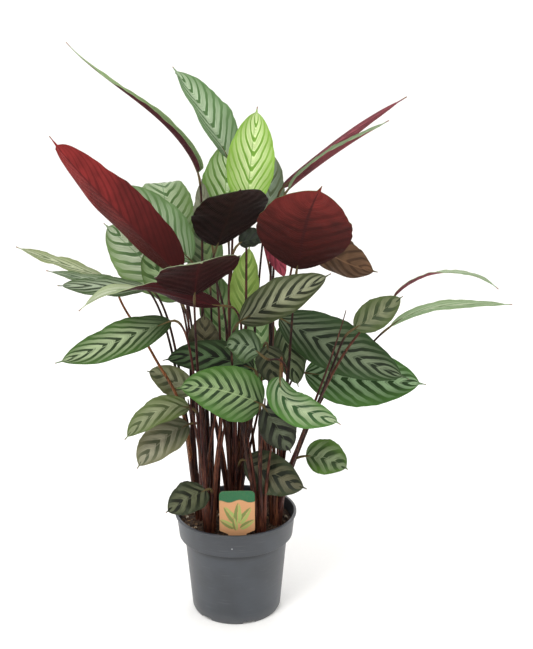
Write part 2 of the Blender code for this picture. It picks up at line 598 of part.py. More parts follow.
def add_shoot(name, place, home, finish):
    """A shoot's crown with the stalks that grow out of it, joined into one body."""
    bottom = SOIL_TOP - CROWN_DEPTH
    top = SOIL_TOP + CROWN_ABOVE_SOIL
    crown = cylinder(f"shoot_{name}", CROWN_RADIUS, bottom, top, place, home, CROWN_SIDES)
    crown.data.materials.append(finish)
    stalks = collection(f"{name}_stalks")
    own = {leaf_name: spec for leaf_name, spec in LEAVES.items() if spec["shoot"] == name}
    for leaf_name, spec in own.items():
        base = seen([spec["rib"][0]])[0]
        away = np.array([base[0] - place[0], base[1] - place[1]])
        out = away / max(np.linalg.norm(away), 1e-6)
        start = (place[0] + STEM_RING_RADIUS * out[0], place[1] + STEM_RING_RADIUS * out[1],
                 STEM_LEAN * out[0], STEM_LEAN * out[1])
        path = stem_path(spec, start)
        radii = np.linspace(STEM_FOOT_RADIUS, STEM_NECK_RADIUS, len(path))
        hide(add_tube(f"{leaf_name}_stalk", path, radii, stalks))
    if name == SPEAR_SHOOT:
        knots = np.concatenate([[(place[0], place[1], SOIL_TOP)], seen(SPEAR)])
        path = smooth_line(knots, np.linspace(0, 1, STEM_POINTS))
        radii = np.linspace(STEM_FOOT_RADIUS, SPEAR_TIP_RADIUS, len(path))
        hide(add_tube("rolled_spear", path, radii, stalks))
    join = crown.modifiers.new("Join", "BOOLEAN")
    join.operation = "UNION"
    join.operand_type = "COLLECTION"
    join.collection = stalks
    join.solver = "MANIFOLD"
    bpy.context.view_layer.update()
    evaluated = crown.evaluated_get(bpy.context.evaluated_depsgraph_get())
    joined = bpy.data.meshes.new_from_object(evaluated)
    crown.modifiers.clear()
    crown.data = joined
    for stalk in list(stalks.objects):
        bpy.data.objects.remove(stalk)
    bpy.data.collections.remove(stalks)
    crown.data.shade_smooth()
    return crown


def main():
    for old in list(bpy.data.objects):
        bpy.data.objects.remove(old)
    plant = collection("potted_never_never_plant")
    cutters = collection("cutters")
    green = material("leaf_green", LEAF_GREEN, 0.45)
    maroon = material("leaf_maroon", LEAF_MAROON, 0.5)
    brown = material("stem_brown", STEM_BROWN, 0.5)
    add_pot(plant, cutters, material("pot_plastic", POT_GREY, 0.5))
    add_soil(plant, cutters, material("potting_soil", SOIL_BROWN, 0.95))
    tag = upright_plate("plant_tag", tag_outline(), TAG_THICKNESS, plant)
    tag.data.materials.append(material("tag_card", TAG_GREEN, 0.4))
    for name, place in CROWNS.items():
        add_shoot(name, place, plant, brown)
    for name, spec in LEAVES.items():
        add_leaf(name, spec, plant, (green, maroon))


main()
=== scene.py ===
"""The looks of a potted never never plant, as add-on style operators over the plant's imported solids.

Each operator builds one group of pieces as numpy surfaces and gives it a procedural material: the moulded
pot, the peat, the plant tag, the shoots' stalks, the leaves, and the stage with its light and camera.
"""

import math
from functools import partial

import bmesh
import bpy
import numpy as np
from bpy.props import FloatProperty, FloatVectorProperty, IntProperty, PointerProperty
from bpy.types import Operator, Panel, PropertyGroup
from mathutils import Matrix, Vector


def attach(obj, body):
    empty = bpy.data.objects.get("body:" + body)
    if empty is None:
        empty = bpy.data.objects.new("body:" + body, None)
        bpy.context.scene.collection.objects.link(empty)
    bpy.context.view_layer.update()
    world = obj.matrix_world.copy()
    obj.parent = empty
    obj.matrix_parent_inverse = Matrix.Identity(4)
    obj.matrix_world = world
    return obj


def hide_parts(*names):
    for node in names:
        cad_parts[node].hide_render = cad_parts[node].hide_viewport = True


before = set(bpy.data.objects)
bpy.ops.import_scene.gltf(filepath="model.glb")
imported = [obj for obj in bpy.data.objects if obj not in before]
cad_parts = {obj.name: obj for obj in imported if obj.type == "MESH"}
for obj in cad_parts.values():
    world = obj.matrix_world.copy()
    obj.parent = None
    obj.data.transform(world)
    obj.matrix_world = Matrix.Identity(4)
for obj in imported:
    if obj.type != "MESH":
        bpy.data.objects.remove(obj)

bl_info = {
    "name": "Potted Never Never Plant",
    "version": (1, 0, 0),
    "blender": (4, 5, 0),
    "location": "View3D > Sidebar > Plant",
    "description": "Dresses the plant's solids with leaves, stalks, soil, pot and tag",
    "category": "Object",
}

# The eye that the leaves' places are given for
EYE_DISTANCE = 1.45
EYE_HEIGHT = 0.85

# Pot and soil, as in the solids
POT_HEIGHT = 0.178
RIM_RADIUS = 0.105
COLLAR_TOP_RADIUS = 0.1025
COLLAR_FOOT_RADIUS = 0.0985
COLLAR_HEIGHT = 0.041
LEDGE_DROP = 0.004
BODY_TOP_RADIUS = 0.0890
BODY_FOOT_RADIUS = 0.0776
FOOT_RADIUS = 0.0745
LIP_HEIGHT = 0.004
LEDGE_HIGH = POT_HEIGHT - COLLAR_HEIGHT
COLLAR_LOW = LEDGE_HIGH - LEDGE_DROP
WALL = 0.002
FLOOR_HEIGHT = 0.006
FLOOR_THICKNESS = 0.003
CENTRE_FOOT_RADIUS = 0.015
DRAIN_HOLES = 6
DRAIN_HOLE_RADIUS = 0.006
DRAIN_CIRCLE_RADIUS = 0.050
FOOT_NOTCHES = 6
FOOT_NOTCH_WIDTH = 0.020
FOOT_NOTCH_HEIGHT = 0.0045
FOOT_NOTCH_TURN = 0.77
SOIL_TOP = 0.158
SOIL_DOME = 0.004

# Tag, as in the solids
TAG_WIDTH = 0.0586
TAG_TOP = 0.245
TAG_THICKNESS = 0.0008
TAG_CORNER = 0.007
TAG_STAKE_WIDTH = 0.030
TAG_STAKE_DEPTH = 0.035
TAG_POINT_HALF_WIDTH = 0.004
TAG_POINT_LENGTH = 0.012
TAG_SHOULDER_LOW = 0.012
TAG_SHOULDER_HIGH = 0.018
TAG_PLACE = (0.0019, -0.080)
TAG_LEAN = math.radians(3)

# Shoots, as in the solids
CROWN_RADIUS = 0.012
CROWN_ABOVE_SOIL = 0.006
STEM_FOOT_RADIUS = 0.0045
STEM_NECK_RADIUS = 0.0017
STEM_RING_RADIUS = 0.006
STEM_SUNK = 0.010
STEM_LEAN = 0.1
STEM_RISE_SHARE = 0.4
STEM_END_GAP = 0.0005

# Blades, as in the solids
BLADE_THICKNESS = 0.0008
BLADE_BODY_END = 0.94
DRIP_TIP_START = 0.90
DRIP_TIP_SHARE = 0.07
BLADE_FOOT_HALF_WIDTH = 0.0022
BLADE_TIP_HALF_WIDTH = 0.0007
FULL_FOLD_HALF_WIDTH = 0.012
RIB_SAMPLES = 240

# What only the looks have
VEINS_PER_STRIPE = 6
GROOVE_DEPTH = 0.0005
GROOVE_WIDTH = 0.0012
KEEL_WIDTH = 0.0014
UNEVEN_EDGE = 0.010
EDGE_WAVES = (5.3, 11.7)
COCKLE = 0.0005
SHEATH_STEP = 0.22
STALK_RINGS = 64
STALK_SIDES = 12
RIB_RINGS = 10
SHEATH_RINGS = 24
SPEAR_RINGS = 60
POT_CORNER = 0.0009
SOIL_RADIUS = 0.096
SOIL_EDGE_SINKS = 0.002
SOIL_CLEARANCE = 0.0003
CLOD_LENGTHS = (0.03, 0.012, 0.005)
CLOD_HEIGHT = 0.0012
DEAD_TIP = "#7A5236"
SPRUE_PLACE = (-0.007, -0.0995, 0.1532)

# The tag's print: its head's lower edge, and its leaves as place, turn and half length
TAG_HEAD_EDGE = 0.069
TAG_MOTIFS = (
    (-0.017, 0.030, -1.00, 0.014), (0.017, 0.029, 1.00, 0.014), (-0.012, 0.046, -0.60, 0.017),
    (0.013, 0.044, 0.60, 0.017), (0.001, 0.048, 0.05, 0.018), (-0.004, 0.030, -0.20, 0.012),
)

# The backdrop: its flat part's radius, its bend's radius, its top, and its points
BACKDROP_FLAT = 3.2
BACKDROP_BEND = 1.3
BACKDROP_TOP = 2.2
BACKDROP_RINGS = 24
BACKDROP_SIDES = 96

# The studio's soft lamps by name, place, width and power, and the point that they look at
LAMP_AIM = (0, 0, 0.5)
STUDIO_LIGHTS = (
    ("key_lamp", (-1.3, -1.9, 2.9), 1.4, 62.0),
    ("fill_lamp", (2.4, -1.2, 1.6), 1.6, 8.0),
    ("back_lamp", (0.4, 2.2, 2.8), 1.8, 25.0),
)

# How brown each stalk is that stands out: 0 dark brown, 0.5 maroon, 1 orange brown
STALK_MOODS = {
    "far_left_high": 0.97, "top_left_rolled": 0.3, "dark_low": 0.2, "right_folded": 0.9,
}


def leaf(shoot, rib, width, face, end_face=None, fold=(8, 8), curl=14, wave=0.25, waves=2.5, skew=0.85,
         taper=0.0, blunt=0.62, neck=5, via=()):
    """One leaf: its rib's points and width in cm, where its upper face looks, and how its halves fold.

    Points and directions are (across, up, toward the viewer). Fold and curl are in degrees, left half first.
    A smaller skew puts the widest place nearer the foot, taper is the share of its width that a blade loses
    by its tip, and a smaller blunt gives it fuller ends. Neck and via shape the stalk, also in cm."""
    return dict(
        shoot=shoot, rib=rib, width=width, face=face, end_face=end_face or face, fold=fold,
        curl=curl, wave=wave, waves=waves, skew=skew, taper=taper, blunt=blunt, neck=neck, via=via,
    )


LEAVES = {
    "top_left_rolled": leaf("north_west",
        [(-5.6, 75.6, -3), (-8.6, 80.7, -3.8), (-14.9, 86.6, -5), (-25.4, 95.4, -7)], 3.6, (0.7, 0.7, 0.25),
        fold=(42, 80), curl=20, wave=0.1, skew=0.42, taper=0.72, blunt=0.5, neck=4),
    "top_back": leaf("north", [(-0.9, 78, -6.5), (-5.2, 85.8, -8), (-9.2, 91.8, -10)], 9.6, (0.5, 0.4, 0.75),
        fold=(34, 4), curl=8, skew=0.72, neck=6),
    "top_bright": leaf("centre", [(2.2, 70, -1), (2.9, 78, -2), (3.9, 85.8, -3.5)], 8.2, (0, 0.15, 1),
        fold=(14, 14)),
    "top_hidden": leaf("north", [(-0.9, 66, -8), (-1.2, 74, -11), (-0.5, 81, -15)], 8.4, (-0.1, 0.25, 0.95),
        fold=(10, 10)),
    "top_dull": leaf("north_west", [(-3.6, 64.5, -4), (-4.6, 69.5, -5.5), (-5, 74.6, -7)], 3.8,
        (-0.4, 0.1, 0.9)),
    "top_grey": leaf("north", [(5, 67, -6), (5.8, 73.5, -8), (6.1, 79.2, -10)], 5.4, (0.3, 0.3, 0.9)),
    "upper_right_back": leaf("north_east", [(8, 73.3, -5), (15.4, 79.4, -8), (27.4, 87.3, -11)], 2.6,
        (-0.15, -0.3, -1), fold=(20, 50), curl=30, wave=0.1, skew=0.7, taper=0.3),
    "upper_right_front": leaf("north_east", [(8.9, 73, -2), (16.4, 78.6, -1.5), (24.7, 83.7, -1)], 3.2,
        (-0.4, 0.6, 0.6), fold=(10, 70), curl=30, wave=0.1, skew=0.7, taper=0.3),
    "left_maroon": leaf("west", [(-9.2, 59.4, 0), (-15, 65.8, 1.5), (-20.4, 71.4, 2.5), (-28.7, 81.3, 4)],
        9.2, (0.26, 0.28, -0.92), fold=(24, 24), skew=0.75, blunt=0.48),
    "left_round": leaf("north_west",
        [(-9, 61.5, -11), (-10.6, 68.5, -14), (-11.2, 73.2, -18), (-11.8, 72.8, -25)], 9.8, (0, 0.3, 1),
        (0, 1, 0.2), fold=(-2, -2), curl=4),
    "left_behind": leaf("north_west", [(-7, 61.5, -8), (-12.5, 67.5, -10.5), (-17.8, 74.3, -12.5)], 9.2,
        (0.25, 0.3, 0.9)),
    "left_pale": leaf("west", [(-9.8, 56.5, -4), (-15.8, 62.8, -6), (-20.8, 67.6, -8)], 9.6,
        (-0.15, 0.3, 0.9)),
    "left_small": leaf("west", [(-9, 55, -2), (-12.3, 59.3, -2.5), (-14.6, 63.3, -3)], 6.0, (-0.3, 0.3, 0.9)),
    "far_left_high": leaf("west", [(-21.2, 58.9, -4), (-25.2, 60.2, -4), (-30, 61.9, -4), (-35, 63.9, -4)],
        3.0, (0.1, 0.9, 0.45), fold=(4, 4), neck=2,
        via=[(-8.2, 33, 3), (-9.4, 37.6, 4.2), (-10.7, 40.6, 5.4), (-12.6, 43.8, 4.6), (-15, 48.6, 0.5),
             (-18.8, 54.8, -3)]),
    "far_left_back": leaf("west", [(-15.5, 57.4, 0.5), (-22, 58.2, 1), (-30.4, 60, 1.5)], 2.8, (0, 0.9, 0.4),
        fold=(5, 5)),
    "far_left_striped": leaf("west", [(-14.5, 57, 3), (-21, 57.2, 4), (-28.7, 57.5, 6)], 4.0, (0, 0.8, 0.6),
        fold=(0, 0), curl=8, blunt=0.5),
    "left_twisted": leaf("centre", [(-2.3, 54, 4), (-9, 55.5, 5.8), (-16, 56.8, 7.5), (-25.5, 53.2, 9.5)],
        5.2, (0.1, 0.5, -0.85), (0, 0.95, 0.3), neck=3, via=[(0.5, 40, -1.5), (1.5, 48, -0.5)]),
    "left_big": leaf("south_west", [(-10.5, 51.4, 6), (-16, 49.3, 8), (-22.5, 46.8, 10), (-29.8, 44.4, 12)],
        6.6, (-0.1, 0.7, 0.7), fold=(3, 3), curl=8),
    "olive_centre": leaf("centre", [(-5, 45.5, 0.6), (-5.1, 49, 0.4), (-5, 52.6, 0)], 5.3, (0, 0.3, 0.9)),
    "dark_left": leaf("centre", [(3.2, 43, 2.6), (-4.5, 45.2, 2.6), (-12, 44.7, 3.2)], 6.0, (0, 0.4, 0.9),
        neck=2),
    "front_bright": leaf("south", [(4.6, 36.8, 9), (0, 38.7, 10.5), (-4.5, 39.8, 11.3), (-9.9, 39.8, 12)],
        8.6, (0, 0.35, 0.9), fold=(-8, -8), wave=0.4, skew=0.68, neck=0.8,
        via=[(4.2, 25, 6.4), (4.6, 33, 7.2)]),
    "small_centre": leaf("south_east", [(4.1, 45.8, 10), (1.4, 47.2, 11), (-1.6, 46.9, 12)], 5.5,
        (0.1, 0.5, 0.85), fold=(-12, -12), neck=2,
        via=[(8, 25, 2.2), (8.6, 38, 6), (8.9, 43, 7.5), (7.6, 44.9, 9)]),
    "olive_left": leaf("south_west", [(-7.3, 38.8, 3), (-11, 41.5, 2.5), (-14.7, 42.9, 1.8)], 5.0,
        (-0.1, 0.25, 0.95)),
    "folded_left": leaf("south_west",
        [(-7.8, 36.4, 6.2), (-12.5, 35.8, 8.2), (-16, 33.6, 9), (-18.8, 30.8, 10)], 4.8, (-0.2, 0.6, 0.75)),
    "grey_low_left": leaf("south_west", [(-7.9, 33.4, 5), (-12.8, 30.2, 7), (-16.9, 25.5, 9)], 6.6,
        (-0.35, 0.45, 0.8)),
    "over_rim": leaf("south_west", [(-5.2, 21.4, 7.5), (-7.9, 19.9, 9.5), (-12.2, 17.3, 11)], 5.8,
        (-0.2, 0.6, 0.75), neck=3),
    "right_folded": leaf("south_east", [(7.6, 41.6, 8), (9, 37.5, 10), (13, 35.3, 11), (18, 33, 12)], 7.5,
        (0.15, 0.55, 0.8), fold=(-40, 10), via=[(8, 25, 2.2), (7.9, 34, 4.2)]),
    "dark_hanging": leaf("south", [(4.9, 36.4, 10), (7.1, 32.8, 10.4), (9.5, 28, 11)], 6.2, (0.1, 0.4, 0.9),
        neck=1, via=[(4.1, 25, 7), (4.1, 33.5, 9)]),
    "dark_low": leaf("centre", [(1.6, 26.8, 2.4), (6.5, 24.3, 4.8), (12.3, 21.3, 8.4)], 7.4, (0, 0.08, 1),
        neck=2),
    "small_low_right": leaf("south_east", [(12.1, 27.4, 5), (15.5, 27, 6), (19.4, 24.8, 7)], 6.2,
        (0.1, 0.5, 0.85)),
    "silver_front": leaf("south", [(1, 51.3, 9), (5, 53.5, 10), (10, 56, 11), (15.9, 59.2, 12)], 6.8,
        (-0.15, 0.6, 0.8)),
    "big_dark_right": leaf("east", [(7.5, 51.8, -1), (13, 48.8, 1), (20, 45.3, 3), (29.4, 41, 5)], 9.0,
        (0.1, 0.3, 0.95)),
    "big_low_right": leaf("east", [(11.8, 42.3, -3), (18, 41.6, -2.5), (25, 41, -1.5), (32.4, 40, 0.5)], 10.4,
        (0.1, 0.3, 0.95)),
    "long_twisted_right": leaf("south_east",
        [(26.4, 55.2, 5.5), (29.5, 57.8, 6.5), (34, 59.2, 7.5), (39, 58.9, 8.3), (43.8, 56.4, 9)], 2.5,
        (-0.3, 0.8, -0.5), (0.1, 0.95, 0.3), fold=(2, 2), curl=10, wave=0.1, neck=2.5,
        via=[(16.5, 43, 6.5), (21.5, 50.3, 4.6)]),
    "right_grey": leaf("south_east", [(20, 49.9, 6.8), (23.7, 52.4, 7), (27.9, 55.3, 7.2)], 5.0,
        (0.1, 0.45, 0.85), neck=2, via=[(16.2, 42.5, 6.8)]),
    "long_arch_right": leaf("east", [(26, 50.2, -5), (29.5, 52.3, -4.5), (37, 53.8, -3.5), (46.3, 53.8, -2)],
        2.5, (0, 0.9, 0.45), fold=(4, 4), curl=10, wave=0.1, neck=2, via=[(16, 41, -6.2), (22.5, 46.8, -6)]),
    "bright_behind": leaf("north", [(4.5, 41, -7), (4.2, 47.5, -11), (3.8, 53, -17)], 7.5, (0, 0.2, 1)),
    "striped_hanging": leaf("north_east", [(8, 50.5, -2.6), (9.3, 45.5, -1), (10.7, 39.8, 0)], 5.5,
        (0.2, 0.2, 1), neck=2),
    "brown_hanging": leaf("centre", [(5.5, 47, 0), (6, 44, 1.5), (6.8, 40.3, 2)], 5.2, (0, 0.2, 1)),
    "yellow_behind": leaf("north", [(1.2, 52, -3.2), (1.8, 58.5, -3.7), (2.6, 64, -4.2)], 5.4,
        (0.2, 0.1, 0.9), fold=(8, 30)),
    "small_dark": leaf("centre", [(0.9, 64.2, 1.2), (3, 65, 1.8), (5.6, 64.6, 2.4)], 3.6, (0, 0.6, 0.8)),
    "pink_hanging": leaf("north_east", [(5.2, 64.8, -2), (6.8, 62, -1), (8.4, 58.4, 0)], 2.8, (0, 0.1, -1),
        neck=1.5, via=[(6.5, 48, -4.5), (6.4, 58, -5)]),
    "green_behind": leaf("north_west", [(-4, 58, -9.5), (-4.8, 63.5, -15), (-5.6, 68, -21)], 7.2,
        (-0.1, 0.2, 0.9)),
    "striped_behind": leaf("north", [(-1.6, 46, -8.6), (-2.6, 53.5, -11.5), (-4, 60, -17)], 7.0, (0, 0.2, 1)),
    "front_pointing": leaf("south_west",
        [(-6.5, 55.8, 8.5), (-6.1, 58.8, 13), (-5.6, 60.9, 18.5), (-5.2, 61, 25)], 12.8, (-0.22, 0.91, -0.3),
        fold=(0, 0), curl=2, skew=1.05),
    "black_front": leaf("centre", [(-2.7, 63.9, 4), (-1.4, 67.3, 8), (0, 70.6, 13), (1.2, 73, 19)], 11.4,
        (-0.17, 0.8, -0.44), fold=(0, 0), curl=4, skew=1.1, blunt=0.5, via=[(-1.2, 45, 0), (-1.4, 53, 1.2)]),
    "red_front": leaf("south_east", [(10.3, 60, 6), (11, 64, 10), (12, 68.4, 15), (14.2, 73.4, 20.5)], 14.4,
        (0.15, 0.75, -0.6), fold=(0, 0), curl=6, skew=0.92, blunt=0.62),
    "olive_right": leaf("north_east", [(12.2, 65.4, -3), (17.2, 61.6, -1), (23.6, 59.4, 1)], 8,
        (0.3, 0.4, -0.85)),
}


# The shoots' crowns, as places on the soil (x, y), all inside the pot's rim
CROWNS = {
    "north_west": (-0.042, 0.040),
    "north": (0.000, 0.064),
    "north_east": (0.044, 0.040),
    "west": (-0.060, 0.002),
    "centre": (-0.004, 0.006),
    "east": (0.070, 0.010),
    "south_west": (-0.044, -0.046),
    "south": (0.041, -0.050),
    "south_east": (0.068, -0.020),
}

# A leaf that is still rolled up: its shoot, its points as seen and the radius at its tip
SPEAR_SHOOT = "south_east"
SPEAR = [(11, 30, 6), (15.2, 42, 8), (18.5, 53, 9)]
SPEAR_TIP_RADIUS = 0.0008


def tone(colour, share):
    """An sRGB hex colour scaled by a share, each channel up to white."""
    parts = [min(255, round(int(colour[place:place + 2], 16) * share)) for place in (1, 3, 5)]
    return "#{:02X}{:02X}{:02X}".format(*parts)


def look(colours, rib=None, under_rib=None, width=0.4, stripes=43, sweep=0.42, under_fade=0.5, band=0.6,
         tip_highlight=0.0, shine=0.42, foot=0.3, dry=0.0):
    """One leaf's colours as sRGB hex: between its stripes, its stripes, its margin and its under side in one
    string, and both ribs, which follow from them where none is given.

    Width is the level of the stripes' wave above which a stripe starts, so that a low one makes wide
    stripes. There are so many stripes a metre, and each ends on the margin by sweep, a share of the
    blade, further on than it starts. Band is how strong the under side's stripes are, and the tip
    highlight how much a painted highlight pales the under side's tip. Shine is the roughness, foot how
    much painted shade darkens the upper side's foot, dry how far the tip is dead."""
    ground, stripe, margin, under = colours.split()
    return dict(
        ground=ground, light=tone(ground, 1.12), stripe=stripe, margin=margin, rib=rib or tone(ground, 0.95),
        under=under, under_light=tone(under, 1.25), under_dark=tone(under, 0.5),
        # The under side's foot colour is painted shade and its tip colour a painted highlight
        under_rib=under_rib or tone(under, 1.3), under_foot=tone(under, 0.5), under_highlight=tone(under, 1.9),
        under_fade=under_fade, band=band, tip_highlight=tip_highlight, width=width, stripes=stripes, sweep=sweep, shine=shine,
        foot=foot, dry=dry)


# What each leaf looks like. Besides the leaves' own colours, these carry painted light and shade: the
# dull and near-black leaves deep in the plant, such as top_dull, top_grey and small_dark, are painted
# darker for the shade they stand in, and top_bright is painted paler for the light through it from behind.
LOOKS = {
    "top_left_rolled": look("#93A57D #6E8659 #809765 #4A2126", dry=1.0),
    "top_back": look("#A2B494 #4A6A3C #5A7A4A #602A31", dry=0.3, width=0.3, sweep=0.45),
    # Painted light: top_bright's pale colours stand for the light that shines through it from behind
    "top_bright": look("#C8D89C #6C9634 #86AC48 #6A2A31", rib="#5E8C30", dry=0.8, sweep=0.62, stripes=46,
        width=0.45),
    "top_hidden": look("#BAD09E #547C2C #6C9146 #602A31", rib="#6E9A3C", sweep=0.55, width=0.35),
    "top_dull": look("#7C7C68 #616450 #6C6F5A #4E2A2D"),
    "top_grey": look("#8A9B84 #5D6B4C #728062 #4E2A2D"),
    "upper_right_back": look("#93A281 #6B815A #7C9068 #784046", dry=1.0),
    "upper_right_front": look("#A0AE8E #566A48 #7D906C #733B40", dry=1.0, sweep=0.9, stripes=14),
    "left_maroon": look("#809268 #526A3F #6A8154 #64201F", rib="#3C1418", dry=0.2, under_fade=0.9,
        under_rib="#4A1A1C", band=0.45, tip_highlight=0.2),
    "left_round": look("#98A983 #456231 #5C773F #602A31", rib="#567848", sweep=0.34, width=0.35),
    "left_behind": look("#A4B495 #517042 #658351 #602A31", rib="#567848", sweep=0.45, width=0.3),
    "left_pale": look("#A8B297 #476239 #657D4A #602A31", dry=0.3, rib="#567848", sweep=0.4, width=0.3),
    "left_small": look("#84986E #314A21 #465D2C #602A31", width=0.2),
    "far_left_high": look("#B4BB98 #5E6C46 #828E5E #784E40", dry=0.8, width=0.2, sweep=0.9, stripes=20),
    "far_left_back": look("#8E9C80 #44563B #5A6E48 #522A2D", dry=0.8, width=0.1, sweep=0.9, stripes=20),
    "far_left_striped": look("#98A58A #28341F #465A36 #522A2D", dry=0.4, width=0.05, sweep=0.9, stripes=26),
    "left_twisted": look("#B2BA9E #7C8A66 #95A279 #3E1518", dry=0.6, sweep=0.9, stripes=16),
    "left_big": look("#98A880 #26361A #3E5C26 #522A2D", width=0.05, stripes=40, foot=1.0),
    "olive_centre": look("#57533C #2D2C1E #383623 #402523"),
    "dark_left": look("#526C46 #0F1609 #233417 #281515", width=-0.1, stripes=37),
    "front_bright": look("#7C9264 #1F3217 #426629 #602A31", rib="#90A473", stripes=62, sweep=0.3, width=0.1),
    "small_centre": look("#748567 #1F3219 #3A502B #522A2D", width=0.1, stripes=50),
    "olive_left": look("#8B8E6F #3E452E #626843 #52312D", width=0.1),
    "folded_left": look("#808765 #414C2B #586638 #4E2526", dry=0.3, width=0.2),
    "grey_low_left": look("#908E77 #474D37 #6A6A4D #402525", dry=0.3, width=0.1, foot=0.8),
    "over_rim": look("#595D44 #15180D #2E3421 #321E1C", dry=0.6, width=0.05),
    "right_folded": look("#A0B08A #2A4A24 #4C7434 #4E2526", dry=0.9, width=0.1),
    "dark_hanging": look("#525A46 #0F120A #212418 #281818", width=0.0),
    "dark_low": look("#5C5A44 #181E12 #313924 #321F1E", width=0.05),
    "small_low_right": look("#7A8965 #2A3C1D #476626 #4E2526", width=0.05),
    "silver_front": look("#8C9072 #222719 #3D4528 #4E2A2D", dry=0.3, width=0.0, stripes=44, sweep=0.4),
    "big_dark_right": look("#6E7C60 #16220F #2C4420 #361F1F", width=-0.05, stripes=37),
    "big_low_right": look("#92B084 #233C1A #456C2F #442525", width=-0.05, stripes=37),
    "long_twisted_right": look("#A2B090 #60784E #869975 #783F46", dry=0.8, sweep=0.9, stripes=14),
    "right_grey": look("#717658 #323E24 #49572F #603236", dry=0.3, width=0.1),
    "long_arch_right": look("#A2B290 #5E7A4C #7D9468 #783F46", dry=0.6, sweep=0.9, stripes=14, rib="#8A5A5C"),
    "bright_behind": look("#8DA473 #476A36 #608146 #522A2D"),
    "striped_hanging": look("#778561 #222F1A #384627 #402323"),
    "brown_hanging": look("#666A4E #242A1A #363E28 #402523", width=0.05),
    "yellow_behind": look("#90A55A #5E7A34 #789242 #5C252C"),
    "small_dark": look("#1F2718 #0A0E08 #151B0D #1F1111"),
    "pink_hanging": look("#86926F #606F4D #6F7C5A #8C3B48"),
    "green_behind": look("#6E8452 #3D552D #526C39 #402323"),
    "striped_behind": look("#809665 #405E31 #57753F #402323"),
    "front_pointing": look("#909D7A #6E7D5A #7C8B68 #2E0E0F", rib="#280E10"),
    "black_front": look("#4E5C3F #283421 #3B4929 #1E0909", rib="#180A0C"),
    "red_front": look("#6E864E #3D552D #526C39 #4C1B19", rib="#2A0E10", sweep=0.25, stripes=38,
        under_fade=0.9, under_rib="#341314", band=0.45, tip_highlight=0.35),
    "olive_right": look("#6E784D #445031 #59633B #574130", rib="#6C5C42"),
}


def seen(points):
    """World places of points given as (across, up, toward) in cm, as the eye sees them.

    A point that is nearer the eye by toward is drawn in to the eye's line of sight by the same share."""
    across, up, toward = np.asarray(points, float).T / 100
    share = (EYE_DISTANCE - toward) / EYE_DISTANCE
    return np.stack([across * share, -toward, EYE_HEIGHT + (up - EYE_HEIGHT) * share], axis=1)


def direction(vector):
    """A unit vector in the world for one given as (across, up, toward)."""
    across, up, toward = vector
    world = np.array([across, -toward, up], float)
    return world / np.linalg.norm(world)


def unit(vectors):
    return vectors / np.linalg.norm(vectors, axis=-1, keepdims=True)


def smoothstep(values, low, high):
    """0 below low and 1 above high, with a smooth cubic between."""
    share = np.clip((values - low) / (high - low), 0, 1)
    return share * share * (3 - 2 * share)


def smooth_line(knots, count):
    """The polynomial through all the knots, sampled at even steps of its own length."""
    steps = np.concatenate([[0], np.cumsum(np.linalg.norm(np.diff(knots, axis=0), axis=1))])
    fit = np.polyfit(steps / steps[-1], knots, len(knots) - 1)
    fine = np.linspace(0, 1, RIB_SAMPLES)
    line = np.stack([np.polyval(fit[:, axis], fine) for axis in range(3)], axis=1)
    return even_points(line, count)


def even_points(line, shares):
    """Points at these shares of a line's length."""
    length = np.concatenate([[0], np.cumsum(np.linalg.norm(np.diff(line, axis=0), axis=1))])
    even = np.asarray(shares) * length[-1]
    return np.stack([np.interp(even, length, line[:, axis]) for axis in range(3)], axis=1)


def blade_outline(along, spec):
    """Half the blade's width as a share of its greatest: a blunt, skewed sine, then the drip tip's taper."""
    body = np.sin(np.pi * np.minimum(along / BLADE_BODY_END, 1) ** spec["skew"])
    tip = DRIP_TIP_SHARE * np.minimum(1, (1 - along) / (1 - DRIP_TIP_START))
    return np.maximum(np.abs(body) ** spec["blunt"] * (1 - spec["taper"] * along), tip)


def blade_surface(spec, along, across):
    """A blade's middle surface, the same as its solid's: two arcs across, that leave the rib at the fold's
    slope, carried along the rib's polynomial, with margins that rise and fall in a sine.

    Two more sines, of 5 and 12 waves a leaf, make the outline uneven by a few hundredths and cockle it."""
    line = smooth_line(seen(spec["rib"]), along)
    ahead = smooth_line(seen(spec["rib"]), np.minimum(along + 0.01, 1))
    behind = smooth_line(seen(spec["rib"]), np.maximum(along - 0.01, 0))
    tangent = unit(ahead - behind)
    turn = (along * along * (3 - 2 * along))[:, None]
    facing = direction(spec["face"]) * (1 - turn) + direction(spec["end_face"]) * turn
    normal = unit(facing - np.sum(facing * tangent, axis=1)[:, None] * tangent)
    side = np.cross(tangent, normal)

    least = BLADE_FOOT_HALF_WIDTH + (BLADE_TIP_HALF_WIDTH - BLADE_FOOT_HALF_WIDTH) * along
    half = np.maximum(spec["width"] / 200 * blade_outline(along, spec), least)[:, None]
    calm = np.sin(np.pi * along)[:, None]
    start = 7 * spec["width"] + np.where(across < 0, 0, 2.3)[None, :]
    slow, quick = (2 * np.pi * waves * along[:, None] for waves in EDGE_WAVES)
    uneven = np.sin(slow + start) + 0.6 * np.sin(quick - start)
    half = half * (1 + UNEVEN_EDGE * calm * uneven)
    out = np.abs(across)[None, :]
    fold = np.radians(np.where(across < 0, spec["fold"][0], spec["fold"][1]))[None, :]
    fold = fold * np.minimum(1, half / FULL_FOLD_HALF_WIDTH)
    curl = math.radians(spec["curl"]) + 1e-6
    outward = half * (np.sin(fold + curl * out) - np.sin(fold)) / curl
    lift = half * (np.cos(fold) - np.cos(fold + curl * out)) / curl
    phase = 2 * np.pi * spec["waves"] * along[:, None] + np.where(across < 0, 0, 1.9)[None, :]
    lift = lift + spec["wave"] / 100 * calm * out**2 * np.sin(phase) + COCKLE * calm * out**3 * uneven
    outward = outward * np.sign(across)[None, :]
    return line[:, None] + outward[:, :, None] * side[:, None] + lift[:, :, None] * normal[:, None], half


